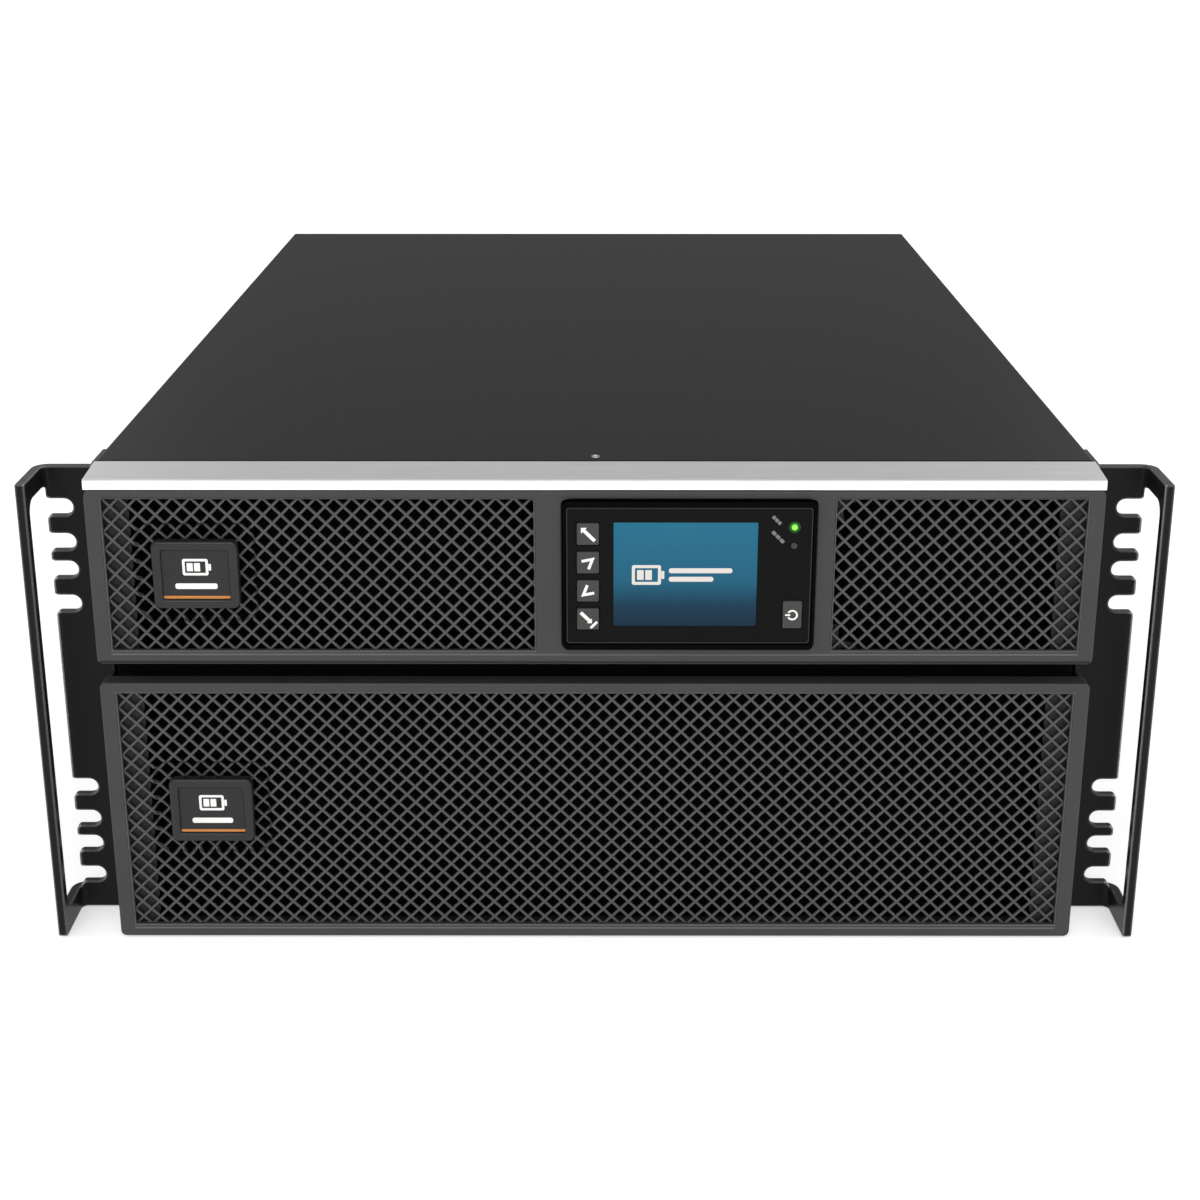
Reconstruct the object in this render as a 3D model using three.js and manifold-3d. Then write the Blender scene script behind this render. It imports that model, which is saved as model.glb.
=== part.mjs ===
// Rack-mounted on-line UPS, five rack units high: a two-unit power section with the display above
// a three-unit bay with two slide-out battery packs.
// Millimetres, +X to the right seen from the front, +Y towards the rear, +Z up.
// Sub-parts are drawn with y = 0 on the front faces of the bezels; the group at the end moves the
// origin to the middle of the footprint, on the surface that the base rests on.
import * as THREE from 'three';
import { mergeVertices } from 'three/addons/utils/BufferGeometryUtils.js';
import Module from 'manifold-3d';

const wasm = await Module();
wasm.setup();

// ---- driving dimensions ----
const GAP = 0.3; // between neighbours that touch
const SHEET = 1.2; // steel sheet
const WIDTH = 430;
const HEIGHT = 217;
const FRONT_MOST = -3; // face of the display housing
const REAR_MOST = 630; // ends of the rear connectors
const COVER = { front: 25, rear: 622, bottom: 1.8, corner: 1.5 };
const SIDE_IN = WIDTH / 2 - SHEET; // inner face of the cover's sides
const BAY_X = SIDE_IN - 1.3; // half width of what stands inside the cover
const DECK_Z = 127; // underside of the sheet between the two sections
const DECK_TOP = DECK_Z + SHEET;
const UNDER_COVER = 214.5; // tops of the sheets that stand under the cover

// Bezels: plastic shells on the front, with meshes, badges and an aluminium strip.
const BEZEL = { depth: 22, wall: 2, corner: 2.5, meshEdge: 208.3, stripEdge: 198.8, stripBack: 8 };
const UPPER = { bottom: 132.5, top: 210.5, meshBottom: 138.4, meshTop: 207.2 };
const LOWER = { bottom: GAP, top: 123.6, meshBottom: 5.8, meshTop: 119.1, ledge: 9.5 };
const POST = { left: -25.3, right: 101.8 }; // mesh edges on either side of the display
const GRILLE = { front: 2.3, thick: 2, lapX: 2.5, lapZ: 1.2 };
const BADGE = { x: -169.8, width: 36.9, height: 30.3, corner: 3, front: -1, back: 4.4 };
const BADGE_Z = { upper: 173.3, lower: 63.2 };
const SPIGOT = { radius: 6, collar: 7.5, sides: 16 };
const DISH = { halfWidth: 26, halfHeight: 22.6, corner: 7, floor: 4.8, wall: 1.5 };
const TRIM = { edge: 0.9, frontTop: 215.3, depth: 24.3, wall: 2, top: 2.1 };

const DISPLAY = {
  left: -13.4, right: 93.5, bottom: 140.2, top: 206.4, sideRim: 1.1, endRim: 2.4, back: 23.5, floor: 12,
};
const FASCIA = { front: -1.5, back: 0.5 };
const SCREEN = { left: 8, right: 69.1, bottom: 150.6, top: 197.1, lap: 1.2, back: 4.5 };
const KEY = { width: 9.5, height: 9.7, x: -2.8, topZ: 192.2, pitch: 12.7, proud: 0.8, slack: 0.3 };
const POWER_KEY = { width: 8.3, height: 12.4, x: 84.5, z: 156.1 };
const LIGHT = { x: 84.4, runZ: 195.1, alarmZ: 186.9, radius: 1.5, back: 5.8 };
const DISPLAY_BOARD = { x: [-11, 90.8], y: [6.2, 7.8], z: [143.4, 203.2] };

// Rack geometry: hole heights repeat every unit, 6.35, 22.225 and 38.1 above the unit's start.
const UNIT = 44.45;
const HOLE_LOW = 6.35;
const HOLE_MID = 22.225;
const HOLE_HIGH = 38.1;
const GRID_Z = -5.4; // start of the first rack unit, below the base
const EAR = {
  root: WIDTH / 2 + GAP, outer: 243.5, thick: 4.2, face: 29, top: 213.3,
  bendIn: 3, strip: 5.6, windowLow: 11.2, windowHigh: 203.8, windowCorner: 6, toothX: 238.6,
  slotEnd: 227.4, slotHeight: 7.5, mouth: 1.6,
  flangeThick: 2.7, flangeBack: 57, flangeBottom: 1, flangeTop: 215, flangeCorner: 6,
};

// Sheets of the chassis.
const TRAY = { front: 26, floor: 1.5, wall: 1, lip: 24, stop: 561, stopTop: 100 };
const DECK = { front: 28, rear: 594 };
const DIVIDER = { thick: 1.5, front: 30, rear: 540, bottom: 1.8 };
const FRONT_PLATE = { face: 24.3, intakeZ: [142, 203], intakeLeft: [-200, -30], intakeRight: [106, 200] };
const PANEL = { front: COVER.rear + GAP, back: COVER.rear + GAP + SHEET, bottom: 2, split: 128.5 };

// Battery bay.
const PACK = { inner: 4, outer: 208, front: 45, rear: 540, bottom: 2.5, top: 118, sideTop: 60, wall: 1.5 };
const PACK_X = (PACK.inner + PACK.outer) / 2;
const BLOCK = { inset: 2.5, endInset: 4, top: 112, groove: 1.6, grooveDepth: 3, rows: 4 };
const HANDLE = { half: 38, front: 28.5, bar: 4.5, z: [52, 66], foot: 7 };
const PLUG = { width: 30, rear: 556, z: [20, 38] };
const SOCKET = { width: 38, front: 545, z: [15, 43], bore: 31, boreEnd: 557, boreZ: [19.5, 38.5] };
const DOOR = {
  face: 24, bottom: 3, top: 126.5, fold: 3.5, holeWidth: 60, holeZ: [94, 112], holeCorner: 8.9,
};

// Power section: two boards on posts, with their large parts.
const BOARD = 1.6; // thickness
const POST_RADIUS = 3;
const POWER_BOARD = { x: [-195, 112], y: [205, 555], z: 134, postX: [-180, 40, 100], postY: [220, 540] };
const CONTROL_BOARD = { x: [125, 207], y: [200, 495], z: 150, postX: [135, 200], postY: [215, 480] };
const ON_BOARD = POWER_BOARD.z + BOARD + 0.4; // feet of the parts on the power board
const HEATSINK = { xs: [-140, -30], width: 84, y: [250, 460], base: 6, top: 200, fins: 9, fin: 2 };
const CAPACITOR = { x: 62, ys: [300, 345], radius: 17, height: 52 };
const CHOKE = { x: 88, ys: [400, 470], radius: 19, tube: 9 };

// Rear: fans, card, ports, mains box.
const FAN = {
  xs: [-150, -58], z: 172, size: 80, depth: 25, corner: 4, bore: 38.2,
  hub: 17, tip: 36.8, rotor: [602, 618], blades: 7, chord: 18, blade: 2, pitch: 38,
};
const GUARD = { thick: 1.5, rings: [39.5, 25], band: 2.4, centre: 11, reachX: 84, reachZ: 80, arm: 4 };
const COMM = {
  slotX: [103, 177], slotZ: [184, 206], plateX: [97, 183], plateZ: [180, 210], plate: 1.5,
  depth: 120, cardZ: [190, 191.6], gripWidth: 24, gripZ: [192, 195],
};
const PORTS = { x: [104, 176], z: [141, 163], depth: 14, proud: 2, midZ: 152, holeFrom: 614 };
const PORT_SIZES = [[117, 18, 9], [143, 15, 12], [163, 12, 11]]; // middle x, width, height
const MAINS = { x: [-205, -28], y: [566, 627], z: [12, 116] };
const OUTLETS = {
  x: [-199, -97], z: [22, 106], from: 598, face: 628.5,
  apartX: 24, apartZ: 20, recess: [25, 17.5], island: [18.6, 11], islandFace: 628, deep: 14,
};
const TERMINALS = { x: [-89, -34], z: [22, 106], from: 580, plate: [624, 626] };
const BUSHING = { z: 48, outer: 15, bore: 10.5, from: 616 };
const TOGGLE = {
  inputX: 20, outputX: 62, y: 621, z: 80, width: 12, barrel: 7, tip: 9, thick: 4, tilt: 25,
  holeWidth: 13.2, holeHeight: 17,
};

// ---- solids: every shape is a closed body that can be joined and cut ----
function solid(geometry) {
  const plain = geometry.clone();
  plain.deleteAttribute('normal');
  plain.deleteAttribute('uv');
  const merged = mergeVertices(plain, 1e-4);
  return new wasm.Manifold(new wasm.Mesh({
    numProp: 3,
    vertProperties: new Float32Array(merged.attributes.position.array),
    triVerts: new Uint32Array(merged.index.array),
  }));
}

const join = (first, ...others) => others.reduce((sum, other) => sum.add(other), first);
const cut = (first, ...others) => others.reduce((rest, other) => rest.subtract(other), first);

function geometryOf(body) {
  const { vertProperties, triVerts } = body.getMesh();
  const geometry = new THREE.BufferGeometry();
  geometry.setAttribute('position', new THREE.BufferAttribute(new Float32Array(vertProperties), 3));
  geometry.setIndex(new THREE.BufferAttribute(new Uint32Array(triVerts), 1));
  return geometry;
}

// The same body on the other side of the middle plane x = 0, its faces turned outwards again.
function mirrored(geometry) {
  const copy = geometry.clone().scale(-1, 1, 1);
  const corners = copy.index.array;
  for (let i = 0; i < corners.length; i += 3) {
    [corners[i + 1], corners[i + 2]] = [corners[i + 2], corners[i + 1]];
  }
  return copy;
}

function box([x0, x1], [y0, y1], [z0, z1]) {
  const geometry = new THREE.BoxGeometry(x1 - x0, y1 - y0, z1 - z0);
  return solid(geometry.translate((x0 + x1) / 2, (y0 + y1) / 2, (z0 + z1) / 2));
}

// Extrusions of a flat shape along one axis.
const X_AXIS = new THREE.Vector3(1, 0, 0);
const Y_AXIS = new THREE.Vector3(0, 1, 0);
const Z_AXIS = new THREE.Vector3(0, 0, 1);
const DRAWN_XZ = new THREE.Matrix4().makeBasis(X_AXIS, Z_AXIS, Y_AXIS.clone().negate());
const DRAWN_YZ = new THREE.Matrix4().makeBasis(Y_AXIS, Z_AXIS, X_AXIS);

const COARSE = 2; // curve steps for small corners
const FINE = 5; // curve steps for the ears' bend and slots

function extruded(shape, length, curveSegments) {
  return new THREE.ExtrudeGeometry(shape, { depth: length, bevelEnabled: false, curveSegments });
}

// shape drawn in x and z, from y0 back to y1
function prismY(shape, [y0, y1], steps = COARSE) {
  return solid(extruded(shape, y1 - y0, steps).applyMatrix4(DRAWN_XZ).translate(0, y1, 0));
}

// shape drawn in y and z, from x0 to x1
function prismX(shape, [x0, x1], steps = COARSE) {
  return solid(extruded(shape, x1 - x0, steps).applyMatrix4(DRAWN_YZ).translate(x0, 0, 0));
}

// shape drawn in x and y, from z0 up to z1
function prismZ(shape, [z0, z1], steps = COARSE) {
  return solid(extruded(shape, z1 - z0, steps).translate(0, 0, z0));
}

function roundedRect([u0, u1], [v0, v1], r) {
  const shape = new THREE.Shape();
  shape.moveTo(u0 + r, v0);
  shape.lineTo(u1 - r, v0);
  shape.absarc(u1 - r, v0 + r, r, -Math.PI / 2, 0);
  shape.lineTo(u1, v1 - r);
  shape.absarc(u1 - r, v1 - r, r, 0, Math.PI / 2);
  shape.lineTo(u0 + r, v1);
  shape.absarc(u0 + r, v1 - r, r, Math.PI / 2, Math.PI);
  shape.lineTo(u0, v0 + r);
  shape.absarc(u0 + r, v0 + r, r, Math.PI, 1.5 * Math.PI);
  return shape;
}

const about = (centre, size) => [centre - size / 2, centre + size / 2];
const grown = ([low, high], by) => [low - by, high + by];

function rodY(radius, x, z, [y0, y1], sides = 24) {
  const geometry = new THREE.CylinderGeometry(radius, radius, y1 - y0, sides);
  return solid(geometry.translate(x, (y0 + y1) / 2, z));
}

function rodZ(radius, x, y, [z0, z1], sides = 16) {
  const geometry = new THREE.CylinderGeometry(radius, radius, z1 - z0, sides);
  return solid(geometry.rotateX(Math.PI / 2).translate(x, y, (z0 + z1) / 2));
}

function rodX(radius, y, z, [x0, x1], sides = 20) {
  const geometry = new THREE.CylinderGeometry(radius, radius, x1 - x0, sides);
  return solid(geometry.rotateZ(Math.PI / 2).translate((x0 + x1) / 2, y, z));
}

// ---- the assembly ----
const assembly = new THREE.Group();
assembly.position.y = -(FRONT_MOST + REAR_MOST) / 2;

const FINISHES = {
  blackSteel: { color: 0x2a2a2a, roughness: 0.55, metalness: 0.3 },
  coverSteel: { color: 0x3b3b3a, roughness: 0.6, metalness: 0.3 },
  zincSteel: { color: 0xa9abad, roughness: 0.4, metalness: 0.8 },
  aluminium: { color: 0xb8b8b8, roughness: 0.35, metalness: 0.9 },
  bezelGrey: { color: 0x484847, roughness: 0.55, metalness: 0 },
  glossBlack: { color: 0x101010, roughness: 0.15, metalness: 0 },
  keyGrey: { color: 0x4c4c4c, roughness: 0.6, metalness: 0 },
  blackPlastic: { color: 0x1a1a1a, roughness: 0.6, metalness: 0 },
  screenBlue: { color: 0x2b6f8f, roughness: 0.2, metalness: 0 },
  green: { color: 0x60ff40, roughness: 0.3, metalness: 0 },
  greyLens: { color: 0x666666, roughness: 0.3, metalness: 0 },
  board: { color: 0x14532a, roughness: 0.5, metalness: 0 },
  copper: { color: 0xa0602c, roughness: 0.4, metalness: 0.7 },
  batteryGrey: { color: 0x55585a, roughness: 0.5, metalness: 0 },
};

function add(name, finish, shape) {
  const geometry = shape.isBufferGeometry ? shape : geometryOf(shape);
  const mesh = new THREE.Mesh(geometry, new THREE.MeshStandardMaterial(FINISHES[finish]));
  mesh.name = name;
  assembly.add(mesh);
}

// ---- chassis ----
function chassisTray() {
  const reach = BAY_X + TRAY.wall;
  const ys = [TRAY.front, COVER.rear];
  const floor = box([-reach, reach], ys, [0, TRAY.floor]);
  const lips = [[-reach, -BAY_X], [BAY_X, reach]].map((xs) => box(xs, ys, [1, TRAY.lip]));
  const stop = box([-BAY_X, BAY_X], [TRAY.stop, TRAY.stop + SHEET], [1, TRAY.stopTop]);
  return join(floor, ...lips, stop);
}

function topCover() {
  const outline = roundedRect(about(0, WIDTH), [COVER.bottom, HEIGHT], COVER.corner);
  const outer = prismY(outline, [COVER.front, COVER.rear]);
  const inside = box([-SIDE_IN, SIDE_IN], [0, REAR_MOST], [-1, HEIGHT - SHEET]);
  return cut(outer, inside);
}

function frontPlate() {
  const ys = [FRONT_PLATE.face, FRONT_PLATE.face + SHEET];
  const plate = box([-BAY_X, BAY_X], ys, [DECK_TOP + GAP, UNDER_COVER]);
  const intake = (xs) => prismY(roundedRect(xs, FRONT_PLATE.intakeZ, 3), [20, 30]);
  return cut(plate, intake(FRONT_PLATE.intakeLeft), intake(FRONT_PLATE.intakeRight));
}

const THROUGH_REAR = [PANEL.front - 7, REAR_MOST];
const rearHole = (xs, zs) => box(grown(xs, GAP), THROUGH_REAR, grown(zs, GAP));

function rearPanelUpper() {
  const ys = [PANEL.front, PANEL.back];
  const plate = box([-BAY_X, BAY_X], ys, [PANEL.split + 0.5, UNDER_COVER]);
  const fanHoles = FAN.xs.map((x) => rodY(FAN.bore, x, FAN.z, THROUGH_REAR));
  return cut(plate, ...fanHoles, rearHole(COMM.slotX, COMM.slotZ), rearHole(PORTS.x, PORTS.z));
}

function rearPanelLower() {
  const plate = box([-BAY_X, BAY_X], [PANEL.front, PANEL.back], [PANEL.bottom, PANEL.split]);
  const toggleHole = (x) => box(
    about(x, TOGGLE.holeWidth), THROUGH_REAR, about(TOGGLE.z, TOGGLE.holeHeight),
  );
  return cut(plate, rearHole(MAINS.x, MAINS.z), toggleHole(TOGGLE.inputX), toggleHole(TOGGLE.outputX));
}

const deck = () => box([-BAY_X, BAY_X], [DECK.front, DECK.rear], [DECK_Z, DECK_TOP]);
const divider = () => box(
  about(0, DIVIDER.thick), [DIVIDER.front, DIVIDER.rear], [DIVIDER.bottom, DECK_Z - GAP],
);

// ---- rack ear with its bent carrying handle, drawn for the right-hand side ----
function earPlan() {
  const inner = EAR.outer - EAR.thick;
  const back = EAR.face + EAR.thick;
  const bendOut = EAR.bendIn + EAR.thick;
  const plan = new THREE.Shape();
  plan.moveTo(EAR.root, EAR.face);
  plan.lineTo(inner - EAR.bendIn, EAR.face);
  plan.absarc(inner - EAR.bendIn, EAR.face - EAR.bendIn, EAR.bendIn, Math.PI / 2, 0, true);
  plan.lineTo(inner, 0);
  plan.lineTo(EAR.outer, 0);
  plan.lineTo(EAR.outer, back - bendOut);
  plan.absarc(EAR.outer - bendOut, back - bendOut, bendOut, 0, Math.PI / 2);
  plan.lineTo(EAR.root, back);
  return plan;
}

const slotHeights = () => [
  HOLE_MID, HOLE_HIGH, UNIT + HOLE_LOW, UNIT + HOLE_MID,
  3 * UNIT + HOLE_MID, 3 * UNIT + HOLE_HIGH, 4 * UNIT + HOLE_LOW, 4 * UNIT + HOLE_MID,
].map((height) => GRID_Z + height);

// Slot open towards the handle, its mouth rounded off into the teeth above and below it.
function earSlot(z) {
  const r = EAR.slotHeight / 2;
  const edge = r + EAR.mouth;
  const turn = EAR.toothX - EAR.mouth;
  const shape = new THREE.Shape();
  shape.moveTo(EAR.outer, z + edge);
  shape.lineTo(EAR.toothX, z + edge);
  shape.absarc(turn, z + edge, EAR.mouth, 0, -Math.PI / 2, true);
  shape.lineTo(EAR.slotEnd + r, z + r);
  shape.absarc(EAR.slotEnd + r, z, r, Math.PI / 2, 1.5 * Math.PI);
  shape.lineTo(turn, z - r);
  shape.absarc(turn, z - edge, EAR.mouth, Math.PI / 2, 0, true);
  shape.lineTo(EAR.outer, z - edge);
  return prismY(shape, [EAR.face - EAR.bendIn, EAR.face + EAR.thick + 1], FINE);
}

function earRight() {
  const bent = prismZ(earPlan(), [0, EAR.top], FINE);
  const flange = new THREE.Shape();
  flange.moveTo(EAR.face, EAR.flangeBottom);
  flange.lineTo(EAR.flangeBack, EAR.flangeBottom);
  flange.lineTo(EAR.flangeBack, EAR.flangeTop - EAR.flangeCorner);
  flange.lineTo(EAR.flangeBack - EAR.flangeCorner, EAR.flangeTop);
  flange.lineTo(EAR.face, EAR.flangeTop);
  const fixing = prismX(flange, [EAR.root, EAR.root + EAR.flangeThick]);
  const windowShape = roundedRect(
    [EAR.strip, EAR.flangeBack], [EAR.windowLow, EAR.windowHigh], EAR.windowCorner,
  );
  const windowCut = prismX(windowShape, [EAR.toothX, EAR.outer + 5], FINE);
  return cut(join(bent, fixing), windowCut, ...slotHeights().map(earSlot));
}

// ---- bezels ----
function bezelShell(span) {
  const outer = prismY(roundedRect(about(0, WIDTH), [span.bottom, span.top], BEZEL.corner), [0, BEZEL.depth]);
  const cavity = box(
    grown(about(0, WIDTH), -BEZEL.wall), [BEZEL.wall, BEZEL.depth + 1],
    grown([span.bottom, span.top], -BEZEL.wall),
  );
  return cut(outer, cavity);
}

// Strips behind both ends of the mesh, which stiffen the frame.
function endStrips(span) {
  const reach = WIDTH / 2 - BEZEL.wall;
  const depth = [GRILLE.front + GRILLE.thick + GAP, BEZEL.stripBack];
  const heights = grown([span.bottom, span.top], -BEZEL.wall / 2);
  const sides = [[-reach - 1, -BEZEL.stripEdge], [BEZEL.stripEdge, reach + 1]];
  return sides.map((xs) => box(xs, depth, heights));
}

const opening = (xs, span) => box(xs, [-1, BEZEL.wall + 1], [span.meshBottom, span.meshTop]);

function upperBezelFrame() {
  const displayHole = prismY(
    roundedRect(grown([DISPLAY.left, DISPLAY.right], 0.4), grown([DISPLAY.bottom, DISPLAY.top], 0.4), 2.4),
    [-1, BEZEL.depth],
  );
  const shell = join(bezelShell(UPPER), ...endStrips(UPPER));
  return cut(
    shell, displayHole,
    opening([-BEZEL.meshEdge, POST.left], UPPER), opening([POST.right, BEZEL.meshEdge], UPPER),
  );
}

function lowerBezelFrame() {
  const shell = join(bezelShell(LOWER), ...endStrips(LOWER));
  const rearStep = box(
    [-WIDTH, WIDTH], [LOWER.ledge, BEZEL.depth + 1], [LOWER.top - BEZEL.wall - 0.2, LOWER.top + 1],
  );
  return cut(shell, rearStep, opening([-BEZEL.meshEdge, BEZEL.meshEdge], LOWER));
}

function plainGrille(xs, span) {
  const back = GRILLE.front + GRILLE.thick;
  return box(xs, [GRILLE.front, back], grown([span.meshBottom, span.meshTop], GRILLE.lapZ));
}

// The mesh dips into a rounded dish around the badge, whose floor carries the badge's spigot.
function dishedGrille(xs, span, badgeZ) {
  const back = DISH.floor + GRILLE.thick;
  const dishShape = (inset) => roundedRect(
    about(BADGE.x, 2 * (DISH.halfWidth - inset)), about(badgeZ, 2 * (DISH.halfHeight - inset)), DISH.corner,
  );
  const bowl = prismY(dishShape(-DISH.wall), [GRILLE.front + 0.5, back]);
  const pocket = prismY(dishShape(0), [0, DISH.floor]);
  const bore = rodY(SPIGOT.radius + GAP, BADGE.x, badgeZ, [0, back + 1], SPIGOT.sides);
  return cut(join(plainGrille(xs, span), bowl), pocket, bore);
}

// Inverted channel of aluminium over the upper bezel, its top sloping down to the front edge.
function trimStrip() {
  const profile = new THREE.Shape();
  const low = UPPER.top + GAP;
  const inFront = TRIM.wall;
  const inBack = TRIM.depth - TRIM.wall;
  profile.moveTo(0, low);
  profile.lineTo(0, TRIM.frontTop - TRIM.edge);
  profile.lineTo(TRIM.edge, TRIM.frontTop);
  profile.lineTo(TRIM.depth - TRIM.edge, HEIGHT);
  profile.lineTo(TRIM.depth, HEIGHT - TRIM.edge);
  profile.lineTo(TRIM.depth, low);
  profile.lineTo(inBack, low);
  profile.lineTo(inBack, HEIGHT - TRIM.top - GAP);
  profile.lineTo(inFront, TRIM.frontTop - TRIM.top);
  profile.lineTo(inFront, low);
  return prismX(profile, about(0, WIDTH));
}

// Tile on a round spigot, held by a collar behind the dish floor, so that it turns in place.
function badge(z) {
  const tile = prismY(
    roundedRect(about(BADGE.x, BADGE.width), about(z, BADGE.height), BADGE.corner), [BADGE.front, BADGE.back],
  );
  const dishBack = DISH.floor + GRILLE.thick;
  const spigot = rodY(SPIGOT.radius, BADGE.x, z, [BADGE.back - 1, dishBack + 2], SPIGOT.sides);
  const collar = rodY(SPIGOT.collar, BADGE.x, z, [dishBack + 0.5, dishBack + 2], SPIGOT.sides);
  return join(tile, spigot, collar);
}

// ---- display ----
const displaySpan = (insetX, insetZ) => [
  grown([DISPLAY.left, DISPLAY.right], -insetX), grown([DISPLAY.bottom, DISPLAY.top], -insetZ),
];

function displayHousing() {
  const { sideRim, endRim, back, floor } = DISPLAY;
  const outer = prismY(roundedRect(...displaySpan(0, 0), 2), [FRONT_MOST, back]);
  const pocket = prismY(roundedRect(...displaySpan(sideRim, endRim), 1.2), [FRONT_MOST - 1, floor]);
  return cut(outer, pocket);
}

const keys = () => {
  const glyphs = ['escape', 'up', 'down', 'enter'];
  const small = glyphs.map((glyph, row) => ({
    name: `${glyph}_button`, x: KEY.x, z: KEY.topZ - row * KEY.pitch, width: KEY.width, height: KEY.height,
  }));
  const { x, z, width, height } = POWER_KEY;
  return [...small, { name: 'power_button', x, z, width, height }];
};

const keyBox = ({ x, z, width, height }, growth, ys) => box(
  grown(about(x, width), growth), ys, grown(about(z, height), growth),
);

function displayFascia() {
  const span = displaySpan(DISPLAY.sideRim + GAP, DISPLAY.endRim + GAP);
  const plate = prismY(roundedRect(...span, 1), [FASCIA.front, FASCIA.back]);
  const through = [FASCIA.front - 1, FASCIA.back + 1];
  const keyHoles = keys().map((key) => keyBox(key, KEY.slack, through));
  const lightHoles = [LIGHT.runZ, LIGHT.alarmZ].map((z) => rodY(LIGHT.radius + 0.2, LIGHT.x, z, through, 12));
  const screenHole = box([SCREEN.left, SCREEN.right], through, [SCREEN.bottom, SCREEN.top]);
  return cut(plate, ...keyHoles, ...lightHoles, screenHole);
}

// Cap, hidden retaining rim behind the fascia, and stem that presses the switch on the board.
function keyBody(key) {
  const cap = keyBox(key, 0, [FASCIA.front - KEY.proud, 1.5]);
  const rim = keyBox(key, 0.9, [FASCIA.back + GAP, 1.8]);
  const stem = rodY(1.5, key.x, key.z, [1, 4.8], 8);
  return join(cap, rim, stem);
}

const indicator = (z) => rodY(LIGHT.radius, LIGHT.x, z, [FASCIA.front - 0.3, LIGHT.back], 12);

function displayScreen() {
  const xs = grown([SCREEN.left, SCREEN.right], SCREEN.lap);
  return box(xs, [FASCIA.back + GAP, SCREEN.back], grown([SCREEN.bottom, SCREEN.top], SCREEN.lap));
}

// ---- battery packs, drawn for the right-hand bay ----
function packTray() {
  const { inner, outer, front, rear, bottom, top, sideTop, wall } = PACK;
  const floor = box([inner, outer], [front, rear], [bottom, bottom + wall]);
  const face = box([inner, outer], [front, front + wall], [bottom, top]);
  const back = box([inner, outer], [rear - wall, rear], [bottom, sideTop]);
  const side = (x) => box([x, x + wall], [front, rear], [bottom, sideTop]);
  return join(floor, face, back, side(inner), side(outer - wall));
}

// Eight batteries strapped together; grooves mark where their cases meet.
function packBlock() {
  const xs = [PACK.inner + BLOCK.inset, PACK.outer - BLOCK.inset];
  const ys = [PACK.front + BLOCK.endInset, PACK.rear - BLOCK.endInset];
  const body = box(xs, ys, [PACK.bottom + 2, BLOCK.top]);
  const grooveZ = [BLOCK.top - BLOCK.grooveDepth, BLOCK.top + 1];
  const pitch = (ys[1] - ys[0]) / BLOCK.rows;
  const across = [1, 2, 3].map((i) => box(grown(xs, 1), about(ys[0] + i * pitch, BLOCK.groove), grooveZ));
  const along = box(about(PACK_X, BLOCK.groove), grown(ys, 1), grooveZ);
  return cut(body, ...across, along);
}

function packHandle() {
  const { half, front, bar, z, foot } = HANDLE;
  const grip = box(about(PACK_X, 2 * half), [front, front + bar], z);
  const leg = (x) => box([x, x + foot], [front, PACK.front - GAP], z);
  return join(grip, leg(PACK_X - half), leg(PACK_X + half - foot));
}

const packPlug = () => box(about(PACK_X, PLUG.width), [PACK.rear + GAP, PLUG.rear], PLUG.z);

function packSocket() {
  const body = box(about(PACK_X, SOCKET.width), [SOCKET.front, TRAY.stop - GAP], SOCKET.z);
  return cut(body, box(about(PACK_X, SOCKET.bore), [PACK.rear, SOCKET.boreEnd], SOCKET.boreZ));
}

// Plate behind the lower bezel that keeps the packs in, with a folded edge and two finger holes.
function batteryDoor() {
  const { face, bottom, top, fold, holeWidth, holeZ, holeCorner } = DOOR;
  const plate = box([-BAY_X, BAY_X], [face, face + SHEET], [bottom, top]);
  const edge = box([-BAY_X, BAY_X], [face, face + fold], [top - SHEET, top]);
  const fingerHole = (x) => prismY(
    roundedRect(about(x, holeWidth), holeZ, holeCorner), [face - 4, face + 6],
  );
  return cut(join(plate, edge), fingerHole(-PACK_X), fingerHole(PACK_X));
}

// ---- power section ----
// Board with the posts that stand it on the deck.
function boardOnPosts({ x, y, z, postX, postY }) {
  const plate = box(x, y, [z, z + BOARD]);
  const post = ([px, py]) => rodZ(POST_RADIUS, px, py, [DECK_TOP + GAP, z + BOARD / 2], 6);
  const places = postX.flatMap((px) => postY.map((py) => [px, py]));
  return join(plate, ...places.map(post));
}

function heatsink(x) {
  const { width, y, base, top, fins, fin } = HEATSINK;
  const [left, right] = about(x, width);
  const pitch = (right - left - fin) / (fins - 1);
  const foot = box([left, right], y, [ON_BOARD, ON_BOARD + base]);
  const blade = (i) => box([left + i * pitch, left + i * pitch + fin], y, [ON_BOARD + base - 1, top]);
  return join(foot, ...Array.from({ length: fins }, (_, i) => blade(i)));
}

const capacitor = (y) => rodZ(CAPACITOR.radius, CAPACITOR.x, y, [ON_BOARD, ON_BOARD + CAPACITOR.height], 20);

function choke(y) {
  const ring = new THREE.TorusGeometry(CHOKE.radius, CHOKE.tube, 6, 12);
  return solid(ring.translate(CHOKE.x, y, ON_BOARD + CHOKE.tube + GAP));
}

// ---- rear: fans, card, ports, mains box ----
function fanFrame(x) {
  const rear = COVER.rear - GAP;
  const front = rear - FAN.depth;
  const body = prismY(roundedRect(about(x, FAN.size), about(FAN.z, FAN.size), FAN.corner), [front, rear]);
  const duct = rodY(FAN.bore, x, FAN.z, [front - 1, rear + 1]);
  const motorPlate = rodY(FAN.hub, x, FAN.z, [front, front + 4]);
  const reach = 2 * FAN.bore + 2;
  const armX = box(about(x, reach), [front, front + 3], about(FAN.z, 4));
  const armZ = box(about(x, 4), [front, front + 3], about(FAN.z, reach));
  return join(cut(body, duct), motorPlate, armX, armZ);
}

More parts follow.
